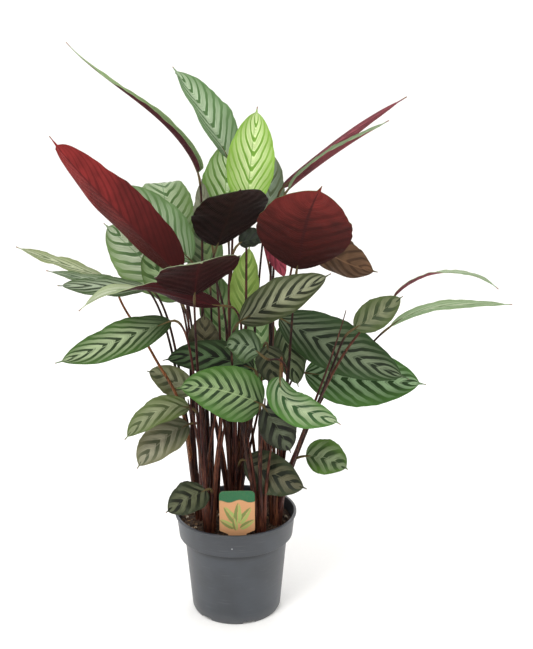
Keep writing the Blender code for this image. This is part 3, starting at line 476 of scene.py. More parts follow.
def grid_faces(rows, columns, start=0, closed=False):
    """Quads of a grid of points, row by row, whose last column meets the first where it is closed."""
    across = np.arange(columns if closed else columns - 1)
    row, column = np.meshgrid(np.arange(rows - 1), across, indexing="ij")
    row, right = row * columns, (column + 1) % columns
    corners = [row + column, row + right, row + columns + right, row + columns + column]
    return start + np.stack(corners, axis=-1).reshape(-1, 4)


def closed_rings(rings, first, last):
    """A closed body from a grid of points, a ring in each row, and a point at each end."""
    count, sides = rings.shape[:2]
    low = np.arange(sides)
    high = low + (count - 1) * sides
    points = np.concatenate([rings.reshape(-1, 3), [first, last]])
    start_cap = np.stack([np.roll(low, -1), low, np.full(sides, count * sides)], axis=1)
    end_cap = np.stack([high, np.roll(high, -1), np.full(sides, count * sides + 1)], axis=1)
    return points, grid_faces(count, sides, closed=True), np.concatenate([start_cap, end_cap])


def closed_sheet(front, back):
    """One closed body from two grids of points, the front one facing along columns x rows.

    Their rims are joined. It returns the points, the faces and 1 for each face of the back."""
    rows, columns = front.shape[:2]
    count = rows * columns
    index = np.arange(count).reshape(rows, columns)
    rim = np.concatenate([index[0, :-1], index[:-1, -1], index[-1, :0:-1], index[:0:-1, 0]])
    around = np.roll(rim, -1)
    top = grid_faces(rows, columns)
    bottom = grid_faces(rows, columns, count)[:, ::-1]
    edge = np.stack([rim, rim + count, around + count, around], axis=1)
    kinds = np.concatenate([np.zeros(len(top)), np.ones(len(bottom)), np.zeros(len(edge))]).astype(np.int32)
    points = np.concatenate([front.reshape(-1, 3), back.reshape(-1, 3)])
    return points, np.concatenate([top, bottom, edge]), kinds


def blade_solid(spec, colours, settings):
    """A closed blade: its middle surface, half a thickness to each side, with its margins joined.

    Both sides are pleated by a cosine of the stripes' phase. The upper side has a groove over the rib and
    the under side a keel, bell curves across that fade to the tip. Its points carry (phase, reach, along)."""
    along = np.linspace(0, 1, settings.rows) ** 1.05
    across = np.sin(np.linspace(-1, 1, settings.columns) * np.pi / 2)
    middle, half = blade_surface(spec, along, across)
    normal = unit(np.cross(np.gradient(middle, axis=1), np.gradient(middle, axis=0)))
    length = float(np.linalg.norm(np.diff(middle[:, settings.columns // 2], axis=0), axis=1).sum())
    along = along[:, None]
    reach = np.abs(across)[None, :] + 0 * along
    away = reach * half
    sweep = colours["sweep"] * (0.72 * reach + 0.28 * reach**2) * (1 - 0.3 * along)
    phase = max(4, round(length * colours["stripes"])) * (along - sweep) + 0.35 * (across[None, :] > 0)
    pleat = settings.pleat * np.cos(2 * np.pi * phase) * smoothstep(reach, 0.03, 0.3)
    pleat = pleat * (1 - smoothstep(reach, 0.75, 1)) * np.minimum(1, half / 0.015)
    fade = 1 - 0.75 * along
    groove = GROOVE_DEPTH * fade * np.exp(-(away / GROOVE_WIDTH) ** 2)
    keel = settings.keel * fade * np.exp(-(away / KEEL_WIDTH) ** 2)
    front = middle + (BLADE_THICKNESS / 2 - groove + pleat)[:, :, None] * normal
    back = middle - (BLADE_THICKNESS / 2 + keel - pleat)[:, :, None] * normal
    points, faces, kinds = closed_sheet(front, back)
    pattern = np.stack([phase, reach, along + 0 * reach], axis=-1).reshape(-1, 3)
    return points, faces, kinds, np.concatenate([pattern, pattern])


def stalk_path(spec, start):
    """A leaf's stalk, the same as in its solid: out of its crown, past any points given, to its rib's foot.

    It is a cubic Bezier curve, or lines with their corners cut four times where points are given."""
    rib = smooth_line(seen(spec["rib"]), [0, 0.03])
    ahead = unit(rib[1] - rib[0])
    top = rib[0] - ahead * STEM_END_GAP
    neck = top - ahead * spec["neck"] / 100
    foot = np.array([start[0], start[1], SOIL_TOP + CROWN_ABOVE_SOIL - STEM_SUNK])
    rise = foot + np.array([start[2], start[3], 1.0]) * STEM_RISE_SHARE * np.linalg.norm(top - foot)
    if spec["via"]:
        line = np.concatenate([[foot, foot + (rise - foot) * 0.5], seen(spec["via"]), [neck, top]])
        for _ in range(4):
            near = 0.75 * line[:-1] + 0.25 * line[1:]
            far = 0.25 * line[:-1] + 0.75 * line[1:]
            line = np.concatenate([line[:1], np.stack([near, far], axis=1).reshape(-1, 3), line[-1:]])
        return line
    t = np.linspace(0, 1, 40)[:, None]
    return (1 - t)**3 * foot + 3 * (1 - t)**2 * t * rise + 3 * (1 - t) * t**2 * neck + t**3 * top


def tube(path, radii, sides):
    """A closed tube round a path: rings square to it, turned from one fixed direction, and pointed ends.

    The fixed direction is the one that the path strays least along, so that no ring flips over."""
    tangent = unit(np.gradient(path, axis=0))
    fixed = np.linalg.svd(path - path.mean(axis=0), full_matrices=True)[2][2]
    first = unit(np.cross(tangent, fixed))
    second = np.cross(tangent, first)
    turn = np.linspace(0, 2 * np.pi, sides, endpoint=False)
    ring = np.cos(turn)[None, :, None] * first[:, None] + np.sin(turn)[None, :, None] * second[:, None]
    return closed_rings(path[:, None] + ring * np.asarray(radii)[:, None, None], path[0], path[-1])


def linear(colour):
    """The linear RGBA of an sRGB hex colour."""
    share = np.array([int(colour[place:place + 2], 16) for place in (1, 3, 5)]) / 255
    return (*np.where(share <= 0.04045, share / 12.92, ((share + 0.055) / 1.055) ** 2.4).tolist(), 1.0)


def per_metre(millimetres):
    """The scale of a pattern whose features are so many millimetres apart."""
    return 1000 / millimetres


def add_node(tree, kind, inputs=None, **settings):
    """A node with its settings and inputs: each input is a value, a hex colour, an output or another node,
    whose first output in use is taken."""
    node = tree.nodes.new("ShaderNode" + kind)
    for key, value in settings.items():
        setattr(node, key, value)
    for key, value in (inputs or {}).items():
        if isinstance(value, bpy.types.Node):
            value = next(output for output in value.outputs if output.enabled)
        if isinstance(value, bpy.types.NodeSocket):
            tree.links.new(value, node.inputs[key])
        else:
            node.inputs[key].default_value = linear(value) if isinstance(value, str) else value
    return node


# Settings that many nodes share, and the sockets of a Mix node that takes colours
SMOOTH = {"interpolation_type": "SMOOTHSTEP"}
SCALE_AND_ADD = {"operation": "MULTIPLY_ADD"}
COLOURS = {"data_type": "RGBA"}
SHARE, UNDER, OVER = 0, 6, 7


def new_material(name, swatch):
    """A material, the function that adds its nodes, and its Object coordinates."""
    made = bpy.data.materials.new(name)
    made.use_nodes = True
    made.diffuse_color = linear(swatch)
    add = partial(add_node, made.node_tree)
    return made, add, add("TexCoord").outputs["Object"]


def layered(add, colour, *layers):
    """A colour under others, each layer as (value, low, high, share at low, share at high, colour).

    Between its low and its high value a layer's share follows a smooth cubic."""
    for value, low, high, low_share, high_share, over in layers:
        share = add("MapRange", {0: value, 1: low, 2: high, 3: low_share, 4: high_share}, **SMOOTH)
        colour = add("Mix", {SHARE: share, UNDER: colour, OVER: over}, **COLOURS)
    return colour


def set_stops(ramp, *stops):
    """Gives a colour ramp stops, each as (position, hex colour), the first at 0 and the last at 1."""
    for position, _ in stops[1:-1]:
        ramp.elements.new(position)
    for element, (_, colour) in zip(ramp.elements, stops):
        element.color = linear(colour)


def finish(made, colour, rough, bump=None, **values):
    """The material with these joined to its Principled shader, and values set on the shader's own sockets."""
    shader = made.node_tree.nodes["Principled BSDF"]
    joined = {"Base Color": colour, "Roughness": rough, "Normal": bump}
    for key, node in joined.items():
        if node:
            output = next(output for output in node.outputs if output.enabled)
            made.node_tree.links.new(output, shader.inputs[key])
    for key, value in values.items():
        shader.inputs[key.replace("_", " ")].default_value = value
    return made


def blade_pattern(add, place, warp):
    """What both skins of a blade share: its carried (phase, reach, along), noises, stripe wave and veins.

    The wave is a cosine of the phase, which broad noise pushes along so that no two stripes are alike. The
    streaks are a noise over phase and reach, so they run along the side veins, 3 mm apart."""
    carried = add("Attribute", attribute_name="stripe").outputs["Vector"]
    phase, reach, along = add("SeparateXYZ", {0: carried}).outputs
    broad = add("TexNoise", {"Vector": place, "Scale": per_metre(31.25), "Detail": 2})
    fine = add("TexNoise", {"Vector": place, "Scale": per_metre(3.846), "Detail": 3})
    phase = add("Math", {0: broad, 1: warp, 2: phase}, **SCALE_AND_ADD)
    turn = add("Math", {0: phase, 1: 2 * math.pi}, operation="MULTIPLY")
    lean = add("Math", {0: turn}, operation="SINE")
    turn = add("Math", {0: lean, 1: 0.45, 2: turn}, **SCALE_AND_ADD)
    wave = add("Math", {0: turn}, operation="COSINE")
    turn = add("Math", {0: phase, 1: 2 * math.pi * VEINS_PER_STRIPE}, operation="MULTIPLY")
    veins = add("Math", {0: turn}, operation="COSINE")
    over = add("CombineXYZ", {"X": phase, "Y": reach, "Z": along})
    over = add("Mapping", {"Vector": over, "Scale": (8.0, 2.5, 1.0)})
    streaks = add("TexNoise", {"Vector": over, "Scale": 1.0, "Detail": 3})
    return reach, along, broad, fine, wave, veins, streaks


def withered_tip(add, along, fine, dry):
    """The layer of a leaf's withered brown tip, ragged by the fine noise and longer on a dry leaf."""
    ragged = add("Math", {0: fine, 1: 0.02, 2: along}, **SCALE_AND_ADD)
    return ragged, 1 - 0.035 * dry, 1.012 - 0.02 * dry, 0, 1, DEAD_TIP


def blade_upper(name, colours):
    """The upper skin of a feather-striped leaf: waxy, satin, with a fine pleat along its side veins.

    Silver-green ground, dark stripes that sweep out from the rib and join a green margin, a pale rib and
    a dead brown tip. A point is in a stripe where the wave is over a level, which falls near the margin."""
    made, add, place = new_material(name, colours["ground"])
    stripe, margin, width = colours["stripe"], colours["margin"], colours["width"]
    reach, along, broad, fine, wave, veins, streaks = blade_pattern(add, place, 0.55)
    level = add("MapRange", {0: reach, 1: 0.7, 2: 1, 3: width + 0.3, 4: width - 0.6}, **SMOOTH)
    feather = add("Math", {0: fine, 1: 0.2, 2: wave}, **SCALE_AND_ADD)
    feather = add("Math", {0: streaks, 1: 1.6, 2: feather}, **SCALE_AND_ADD)
    feather = add("Math", {0: feather, 1: 0.6}, operation="SUBTRACT")
    feather = add("Math", {0: feather, 1: level}, operation="SUBTRACT")
    pale = add("Math", {0: broad, 1: 0.6, 2: wave}, **SCALE_AND_ADD)
    hair = add("Math", {0: veins, 1: 0.06, 2: streaks}, **SCALE_AND_ADD)
    ragged = add("Math", {0: fine, 1: 0.06, 2: reach}, **SCALE_AND_ADD)
    dark = layered(add, stripe, (reach, 0.2, 0.95, 0, 1, margin))
    colour = layered(
        add, colours["ground"],
        (pale, -0.7, 0.4, 0, 1, colours["light"]),
        (hair, 0.35, 0.75, 0, 0.4, stripe),
        (reach, 0.15, 1, 0, 0.75, margin),
        (feather, -0.85, 0.25, 0, 1, dark),
        (ragged, 0.93, 0.99, 0, 1, margin),
        (reach, 0.008, 0.03, 0.7, 0, colours["rib"]),
        # Painted shade: the upper side darkens towards its foot
        (along, 0, 0.5, colours["foot"], 0, stripe),
        withered_tip(add, along, fine, colours["dry"]),
    )
    rough = add("Math", {0: fine, 1: 0.16, 2: colours["shine"] - 0.08}, **SCALE_AND_ADD)
    height = add("Math", {0: fine, 1: 0.35, 2: veins}, **SCALE_AND_ADD)
    bump = add("Bump", {"Height": height, "Strength": 0.5, "Distance": 0.0003})
    return finish(made, colour, rough, bump, Specular_IOR_Level=0.2)


def blade_under(name, colours):
    """The under side of the leaf: a duller maroon or green skin with a raised rib and side veins.

    Its stripes are the upper side's, seen through the blade, its foot is in painted shade, and its tip is
    paler by a painted highlight."""
    made, add, place = new_material(name, colours["under"])
    shade = colours["under_dark"]
    reach, along, broad, fine, wave, veins, streaks = blade_pattern(add, place, 0.4)
    shadow = add("Math", {0: fine, 1: 0.4, 2: wave}, **SCALE_AND_ADD)
    tip_highlight = add("Math", {0: broad, 1: 0.6, 2: along}, **SCALE_AND_ADD)
    colour = layered(
        add, colours["under"],
        (broad, 0.25, 0.75, 0, 1, colours["under_light"]),
        (shadow, -0.2, 1, 0, colours["band"], shade),
        (streaks, 0.4, 0.7, 0, 0.3, shade),
        # Painted highlight paling the under side towards its tip, then painted shade darkening it towards its
        # foot
        (tip_highlight, 0.7, 1.35, 0, colours["tip_highlight"], colours["under_highlight"]),
        (along, 0, 0.8, colours["under_fade"], 0, colours["under_foot"]),
        (reach, 0.015, 0.05, 0.8, 0, colours["under_rib"]),
        withered_tip(add, along, fine, colours["dry"]),
    )
    rough = add("Math", {0: fine, 1: 0.2, 2: 0.42}, **SCALE_AND_ADD)
    height = add("Math", {0: fine, 1: 0.4, 2: veins}, **SCALE_AND_ADD)
    bump = add("Bump", {"Height": height, "Strength": 0.4, "Distance": 0.00025})
    return finish(made, colour, rough, bump, Specular_IOR_Level=0.1)


def stalk_skin(name):
    """The skin of the leaf stalks: maroon brown over green, ribbed lengthwise, satin from its wax.

    Each stalk carries its own (share along, distance to its blade, mood): the mood picks dark brown,
    maroon or orange brown, and the last two centimetres are the paler, swollen joint under the blade."""
    made, add, place = new_material(name, "#381E18")
    carried = add("Attribute", attribute_name="stalk").outputs["Vector"]
    share, distance, mood = add("SeparateXYZ", {0: carried}).outputs
    stretch = add("Mapping", {"Vector": place, "Scale": (1.0, 1.0, 0.05)})
    ribs = add("TexNoise", {"Vector": stretch, "Scale": per_metre(1.538), "Detail": 3})
    blotches = add("TexNoise", {"Vector": place, "Scale": per_metre(18.18), "Detail": 3})
    skin = add("ValToRGB", {"Fac": mood})
    set_stops(skin.color_ramp, (0, "#1A0D0C"), (0.35, "#2A1412"), (0.62, "#44201D"), (0.85, "#5F3A28"),
              (1, "#8A5630"))
    colour = layered(
        add, skin,
        (blotches, 0.45, 0.7, 0, 0.4, "#54382A"),
        (share, 0, 0.45, 0.5, 0, "#643726"),
        (ribs, 0.28, 0.42, 0.5, 0, "#8A5A40"),
        (ribs, 0.5, 0.62, 0, 0.85, "#160A09"),
        (distance, 0.012, 0.024, 0.75, 0, "#5C5030"),
    )
    rough = add("Math", {0: ribs, 1: 0.25, 2: 0.32}, **SCALE_AND_ADD)
    bump = add("Bump", {"Height": ribs, "Strength": 0.5, "Distance": 0.0005})
    return finish(made, colour, rough, bump, Specular_IOR_Level=0.15)


def peat(name):
    """Potting peat: near-black brown, matt and damp, with fibres and specks of light bark."""
    made, add, place = new_material(name, "#3A2C22")
    coarse = add("TexNoise", {"Vector": place, "Scale": per_metre(8.333), "Detail": 5, "Roughness": 0.65})
    fine = add("TexNoise", {"Vector": place, "Scale": per_metre(1.111), "Detail": 4, "Roughness": 0.6})
    colour = layered(
        add, "#2A1E17",
        (coarse, 0.35, 0.7, 0, 1, "#54402F"),
        (fine, 0.62, 0.74, 0, 0.7, "#8A7458"),
    )
    rough = add("Math", {0: fine, 1: 0.2, 2: 0.78}, **SCALE_AND_ADD)
    height = add("Math", {0: fine, 1: 0.35, 2: coarse}, **SCALE_AND_ADD)
    bump = add("Bump", {"Height": height, "Strength": 0.9, "Distance": 0.0012})
    return finish(made, colour, rough, bump, Specular_IOR_Level=0.3)


def crumbs(name):
    """Loose crumbs of peat, bark and grit: each carries a mood, from black peat to cream-coloured grit."""
    made, add, place = new_material(name, "#4A382A")
    mood = add("Attribute", attribute_name="mood").outputs["Fac"]
    fine = add("TexNoise", {"Vector": place, "Scale": per_metre(1.111), "Detail": 4, "Roughness": 0.6})
    bits = add("ValToRGB", {"Fac": mood})
    set_stops(bits.color_ramp, (0, "#241A14"), (0.45, "#3E2E22"), (0.8, "#5E4632"), (0.93, "#86694A"),
              (1, "#CFC4AE"))
    colour = layered(add, bits, (fine, 0.3, 0.7, 0, 0.35, "#1E1510"))
    rough = add("Math", {0: fine, 1: 0.2, 2: 0.78}, **SCALE_AND_ADD)
    return finish(made, colour, rough, Specular_IOR_Level=0.3)


def moulded_plastic(name, settings):
    """Injection-moulded polypropylene: slate grey with a satin skin, faint flow bands round it and dust.

    Scuffs run level, where pots rub, painted shade darkens the 11 mm of wall under the collar's ledge, and
    one pale sprue dot, by its distance to a point, marks the collar. The skin's grain, 0.7 mm, is coarser
    than life to show."""
    made, add, place = new_material(name, "#56585E")
    tint, light, dust = (tuple(getattr(settings, key)) for key in ("tint", "light", "dust"))
    cloud = add("TexNoise", {"Vector": place, "Scale": per_metre(62.5), "Detail": 3})
    grain = add("TexNoise", {"Vector": place, "Scale": per_metre(0.714), "Detail": 2})
    level = add("Mapping", {"Vector": place, "Scale": (1.0, 1.0, 14.0)})
    bands = add("TexNoise", {"Vector": level, "Scale": per_metre(38.46), "Detail": 4})
    height = add("SeparateXYZ", {0: place}).outputs["Z"]
    uneven = add("Math", {0: cloud, 1: 0.02, 2: height}, **SCALE_AND_ADD)
    away = add("VectorMath", {0: place, 1: SPRUE_PLACE}, operation="DISTANCE").outputs["Value"]
    skin = layered(add, tint, (cloud, 0.35, 0.68, 0, 1, light), (bands, 0.56, 0.78, 0, 0.35, dust))
    colour = layered(
        add, skin,
        # Painted shade under the collar's ledge: darker over the 11 mm below it, then the plain skin again
        # from the ledge up
        (height, COLLAR_LOW - 0.011, COLLAR_LOW - 0.001, 0, 0.6, "#17181A"),
        (height, COLLAR_LOW, COLLAR_LOW + 0.0015, 0, 1, skin),
        (uneven, 0.012, 0.035, 0.35, 0, dust),
        (away, 0.0009, 0.0014, 0.8, 0, "#B9BCBC"),
    )
    rough = add("Math", {0: cloud, 1: 0.10, 2: 0.30}, **SCALE_AND_ADD)
    rough = add("Math", {0: bands, 1: 0.16, 2: rough}, **SCALE_AND_ADD)
    bump = add("Bump", {"Height": grain, "Strength": 0.12, "Distance": 0.0002})
    return finish(made, colour, rough, bump, IOR=1.49)


def printed_card(name):
    """Laminated tag card: the print's own colours under a smooth film, with a fine fibre in the print.

    The fibre, 0.7 mm, is drawn coarser than a card's so that it shows."""
    made, add, place = new_material(name, "#D8B48E")
    print_colour = add("Attribute", attribute_name="print").outputs["Color"]
    fibre = add("TexNoise", {"Vector": place, "Scale": per_metre(0.667), "Detail": 3})
    colour = layered(add, print_colour, (fibre, 0.35, 0.7, 0, 0.22, "#8A6A4C"))
    rough = add("Math", {0: fibre, 1: 0.1, 2: 0.45}, **SCALE_AND_ADD)
    return finish(made, colour, rough, Specular_IOR_Level=0.2)


def studio_paper(name, settings):
    """Matt backdrop paper, near white, with a faint 11 mm mottle that only breaks up its sheen."""
    made, add, place = new_material(name, "#F7F5F2")
    mottle = add("TexNoise", {"Vector": place, "Scale": per_metre(11.11), "Detail": 3})
    colour = layered(add, tuple(settings.floor), (mottle, 0.3, 0.7, 0, 0.05, "#E4E0DA"))
    rough = add("Math", {0: mottle, 1: 0.1, 2: 0.85}, **SCALE_AND_ADD)
    return finish(made, colour, rough, Specular_IOR_Level=0.2)


# How a mesh stores what its points carry, by how many numbers each point has
CARRIED_KINDS = {1: ("FLOAT", "value"), 3: ("FLOAT_VECTOR", "vector"), 4: ("FLOAT_COLOR", "color")}


def make_piece(name, points, faces, finishes, node=None, slot=None, kinds=None, carried=None, smooth=True):
    """A piece of these points and faces, several arrays of them, which stands for a node of the solids.

    Kinds are the faces' places in the list of finishes, and carried is what its points carry, by name."""
    mesh = bpy.data.meshes.new(name)
    mesh.from_pydata(points.tolist(), [], [face for part in faces for face in part.tolist()])
    for finish in finishes:
        mesh.materials.append(finish)
    if kinds is not None:
        mesh.polygons.foreach_set("material_index", kinds)
    for label, values in (carried or {}).items():
        kind, field = CARRIED_KINDS[values.size // len(values)]
        mesh.attributes.new(label, kind, "POINT").data.foreach_set(field, values.ravel())
    if smooth:
        mesh.shade_smooth()
    mesh.update()
    piece = bpy.data.objects.new(name, mesh)
    bpy.context.scene.collection.objects.link(piece)
    if node:
        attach(piece, "root")
        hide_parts(node)
    return piece


def join_parts(parts):
    """One body of points and faces from several, each given as points and arrays of faces."""
    points = np.concatenate([part[0] for part in parts])
    starts = np.concatenate([[0], np.cumsum([len(part[0]) for part in parts])[:-1]])
    return points, [group + start for part, start in zip(parts, starts) for group in part[1:]]


def round_corners(profile, cut, steps=5):
    """A profile whose corners become quadratic curves, from cut before each corner to cut after it."""
    profile = np.asarray(profile, float)
    corner = profile[1:-1]
    start, end = (
        (corner + unit(side) * np.minimum(cut, 0.45 * np.linalg.norm(side, axis=1, keepdims=True)))[:, None]
        for side in (profile[:-2] - corner, profile[2:] - corner))
    t = np.linspace(0, 1, steps)[None, :, None]
    curves = (1 - t)**2 * start + 2 * t * (1 - t) * corner[:, None] + t**2 * end
    return np.concatenate([profile[:1], curves.reshape(-1, 2), profile[-1:]])


def turned_body(profile, steps, shape=None):
    """A closed body turned round +Z from a profile that starts and ends on the axis, each end one point.

    Shape may give the rings' points new heights, from arrays of x, y and z."""
    radius, height = np.asarray(profile, float)[1:-1].T
    turn = np.linspace(0, 2 * np.pi, steps, endpoint=False)[None, :]
    x = radius[:, None] * np.cos(turn)
    y = radius[:, None] * np.sin(turn)
    z = height[:, None] + 0 * turn
    if shape:
        z = shape(x, y, z)
    return closed_rings(np.stack([x, y, z], axis=-1), (0, 0, profile[0][1]), (0, 0, profile[-1][1]))


def ripple(x, y, seed, lengths, height):
    """A rough height over a plane: seven cosines of seeded directions and phases for each wave length."""
    rng = np.random.default_rng(seed)
    lengths = np.repeat(np.asarray(lengths, float), 7)
    turn = rng.uniform(0, 2 * np.pi, len(lengths))
    phase = rng.uniform(0, 2 * np.pi, len(lengths))
    x, y = (np.asarray(values)[..., None] for values in (x, y))
    waves = np.cos((x * np.cos(turn) + y * np.sin(turn)) * 2 * np.pi / lengths + phase)
    return height * (waves * lengths / lengths.max()).sum(axis=-1) / 3


def inner_radius(height):
    """The pot's inner wall at a height, a wall's thickness inside its body and its collar."""
    body = np.interp(height, [FLOOR_HEIGHT, COLLAR_LOW], [BODY_FOOT_RADIUS, BODY_TOP_RADIUS])
    collar = np.interp(height, [LEDGE_HIGH, POT_HEIGHT], [COLLAR_FOOT_RADIUS, COLLAR_TOP_RADIUS])
    return float(np.where(height < COLLAR_LOW, body, collar) - WALL)


def soil_height(x, y):
    """The soil's top: a low dome that sinks to the wall, with clods of 30 mm down to 5 mm."""
    share = np.hypot(x, y) / SOIL_RADIUS
    dome = SOIL_DOME * (1 - share**2) - SOIL_EDGE_SINKS * share**6
    return SOIL_TOP + dome + ripple(x, y, 5, CLOD_LENGTHS, CLOD_HEIGHT)


def notched(x, y, z):
    """The pot's heights with its foot's lower points lifted in even notches, with steep smooth sides."""
    turn = np.arctan2(y, x) * FOOT_NOTCHES / (2 * np.pi) - FOOT_NOTCH_TURN
    away = np.abs(turn - np.round(turn)) * 2 * np.pi / FOOT_NOTCHES * FOOT_RADIUS
    half = FOOT_NOTCH_WIDTH / 2
    lift = FOOT_NOTCH_HEIGHT * (1 - smoothstep(away, half - 0.001, half + 0.001))
    at_foot = (np.hypot(x, y) > FOOT_RADIUS - 0.012) & (z < FOOT_NOTCH_HEIGHT)
    return np.where(at_foot, np.maximum(z, lift), z)


def build_pot(settings):
    """The pot: its section turned round +Z, with notches lifted into its foot and holes cut in its floor."""
    low = FLOOR_HEIGHT - FLOOR_THICKNESS
    profile = [
        (0, 0), (CENTRE_FOOT_RADIUS, 0), (CENTRE_FOOT_RADIUS + WALL, low), (FOOT_RADIUS - 2 * WALL, low),
        (FOOT_RADIUS - 2 * WALL, 0), (FOOT_RADIUS, 0), (FOOT_RADIUS + WALL / 2, 0.001),
        (BODY_FOOT_RADIUS, FLOOR_HEIGHT), (BODY_TOP_RADIUS, COLLAR_LOW), (COLLAR_FOOT_RADIUS, LEDGE_HIGH),
        (COLLAR_TOP_RADIUS, POT_HEIGHT - LIP_HEIGHT), (RIM_RADIUS, POT_HEIGHT - LIP_HEIGHT),
        (RIM_RADIUS, POT_HEIGHT), (COLLAR_TOP_RADIUS - WALL, POT_HEIGHT),
        (COLLAR_FOOT_RADIUS - WALL, LEDGE_HIGH), (BODY_TOP_RADIUS - WALL, COLLAR_LOW),
        (BODY_FOOT_RADIUS - WALL, FLOOR_HEIGHT), (0, FLOOR_HEIGHT),
    ]
    points, *faces = turned_body(round_corners(profile, POT_CORNER), 288, notched)
    plastic = moulded_plastic("moulded_polypropylene", settings)
    pot = make_piece("moulded_pot", points, faces, [plastic], "pot", "pot_plastic")
    turn = np.arange(DRAIN_HOLES) * 2 * np.pi / DRAIN_HOLES
    hole = turned_body([(0, -0.02), (DRAIN_HOLE_RADIUS, -0.02), (DRAIN_HOLE_RADIUS, 0.02), (0, 0.02)], 32)
    places = np.stack([np.cos(turn), np.sin(turn), 0 * turn], axis=1) * DRAIN_CIRCLE_RADIUS
    cutter = make_piece("drain_cutter", *join_parts([(hole[0] + place, *hole[1:]) for place in places]), [])
    boolean = pot.modifiers.new("Drain", "BOOLEAN")
    boolean.object = cutter
    boolean.solver = "EXACT"
    bpy.context.view_layer.update()
    pot.data = bpy.data.meshes.new_from_object(pot.evaluated_get(bpy.context.evaluated_depsgraph_get()))
    pot.modifiers.clear()
    bpy.data.objects.remove(cutter)


def build_soil(settings):
    """The soil: a bumpy top on rings, closed down the pot's inner wall, and its crumbs strewn over it."""
    low = FLOOR_HEIGHT + SOIL_CLEARANCE
    heights = (low, COLLAR_LOW - 1e-6, LEDGE_HIGH, SOIL_TOP - 0.003)
    wall = [(inner_radius(z) - SOIL_CLEARANCE, z) for z in heights]
    reach = inner_radius(SOIL_TOP) - 0.0005
    rings = [(reach * share, SOIL_TOP) for share in np.linspace(1, 0, 70)[:-1]]
    profile = [(0, low), *wall, *rings, (0, float(soil_height(0.0, 0.0)))]
    points, *faces = turned_body(
        profile, 220, lambda x, y, z: np.where(z > SOIL_TOP - 1e-4, soil_height(x, y), z))
    make_piece("peat_top", points, faces, [peat("damp_peat")], "soil", "potting_soil")
    points, faces, mood = strewn_crumbs(settings.crumbs, settings.crumb_size, reach)
    make_piece("peat_crumbs", points, [faces], [crumbs("bark_and_peat_crumbs")],
               "soil", "potting_soil", carried={"mood": mood}, smooth=False)


def strewn_crumbs(count, largest, reach):
    """Knobbly balls of 80 faces, stretched, turned and strewn evenly over a disc, most of them small."""
    rng = np.random.default_rng(11)
    shape = bmesh.new()
    bmesh.ops.create_icosphere(shape, subdivisions=1, radius=1)
    base = np.array([vert.co[:] for vert in shape.verts])
    triangles = np.array([[vert.index for vert in face.verts] for face in shape.faces])
    shape.free()
    size = largest / 2 * rng.uniform(0.35, 1.0, (count, 1, 1)) ** 1.6
    stretch = rng.uniform(0.5, 1.6, (count, 1, 3))
    turns = np.linalg.qr(rng.normal(size=(count, 3, 3)))[0]
    turns = turns * np.linalg.det(turns)[:, None, None]
    knobbly = base[None] * (1 + 0.22 * rng.uniform(-1, 1, (count, len(base), 1)))
    away = np.sqrt(rng.uniform(0, 1, count)) * (reach - largest)
    turn = rng.uniform(0, 2 * np.pi, count)
    x, y = away * np.cos(turn), away * np.sin(turn)
    place = np.stack([x, y, soil_height(x, y) + size[:, 0, 0] * 0.2], axis=1)
    points = np.einsum("nij,nkj->nki", turns, knobbly * stretch * size) + place[:, None]
    faces = triangles[None] + (np.arange(count) * len(base))[:, None, None]
    return points.reshape(-1, 3), faces.reshape(-1, 3), np.repeat(rng.uniform(0, 1, count), len(base))


def tag_print(x, z, settings):
    """The tag's print: a green head with a wavy edge, a kraft ground, and pale leaves in a fan on it.

    Each leaf is an ellipse about its own axis, darker on one side of the pale rib along that axis."""
    colour = np.empty(x.shape + (4,))
    colour[...] = settings.ground
    for place_x, place_z, turn, length in TAG_MOTIFS:
        along = (x - place_x) * math.sin(turn) + (z - place_z) * math.cos(turn)
        across = (x - place_x) * math.cos(turn) - (z - place_z) * math.sin(turn)
        share = along / length
        width = 0.34 * length * np.sqrt(np.clip(1 - share**2, 0, 1)) * (1 - 0.35 * share)
        inside = (np.abs(across) < width) & (np.abs(share) < 1)
        colour[inside] = settings.motif
        colour[inside & (across < 0), :3] *= 0.55
        colour[inside & (np.abs(across) < 0.0004)] = settings.ground
    edge = TAG_HEAD_EDGE + 0.0022 * np.sin(x * 2 * np.pi / 0.034 + 0.8)
    head = smoothstep(z, edge - 0.0004, edge + 0.0004)[..., None]
    return colour * (1 - head) + np.array(settings.head) * head


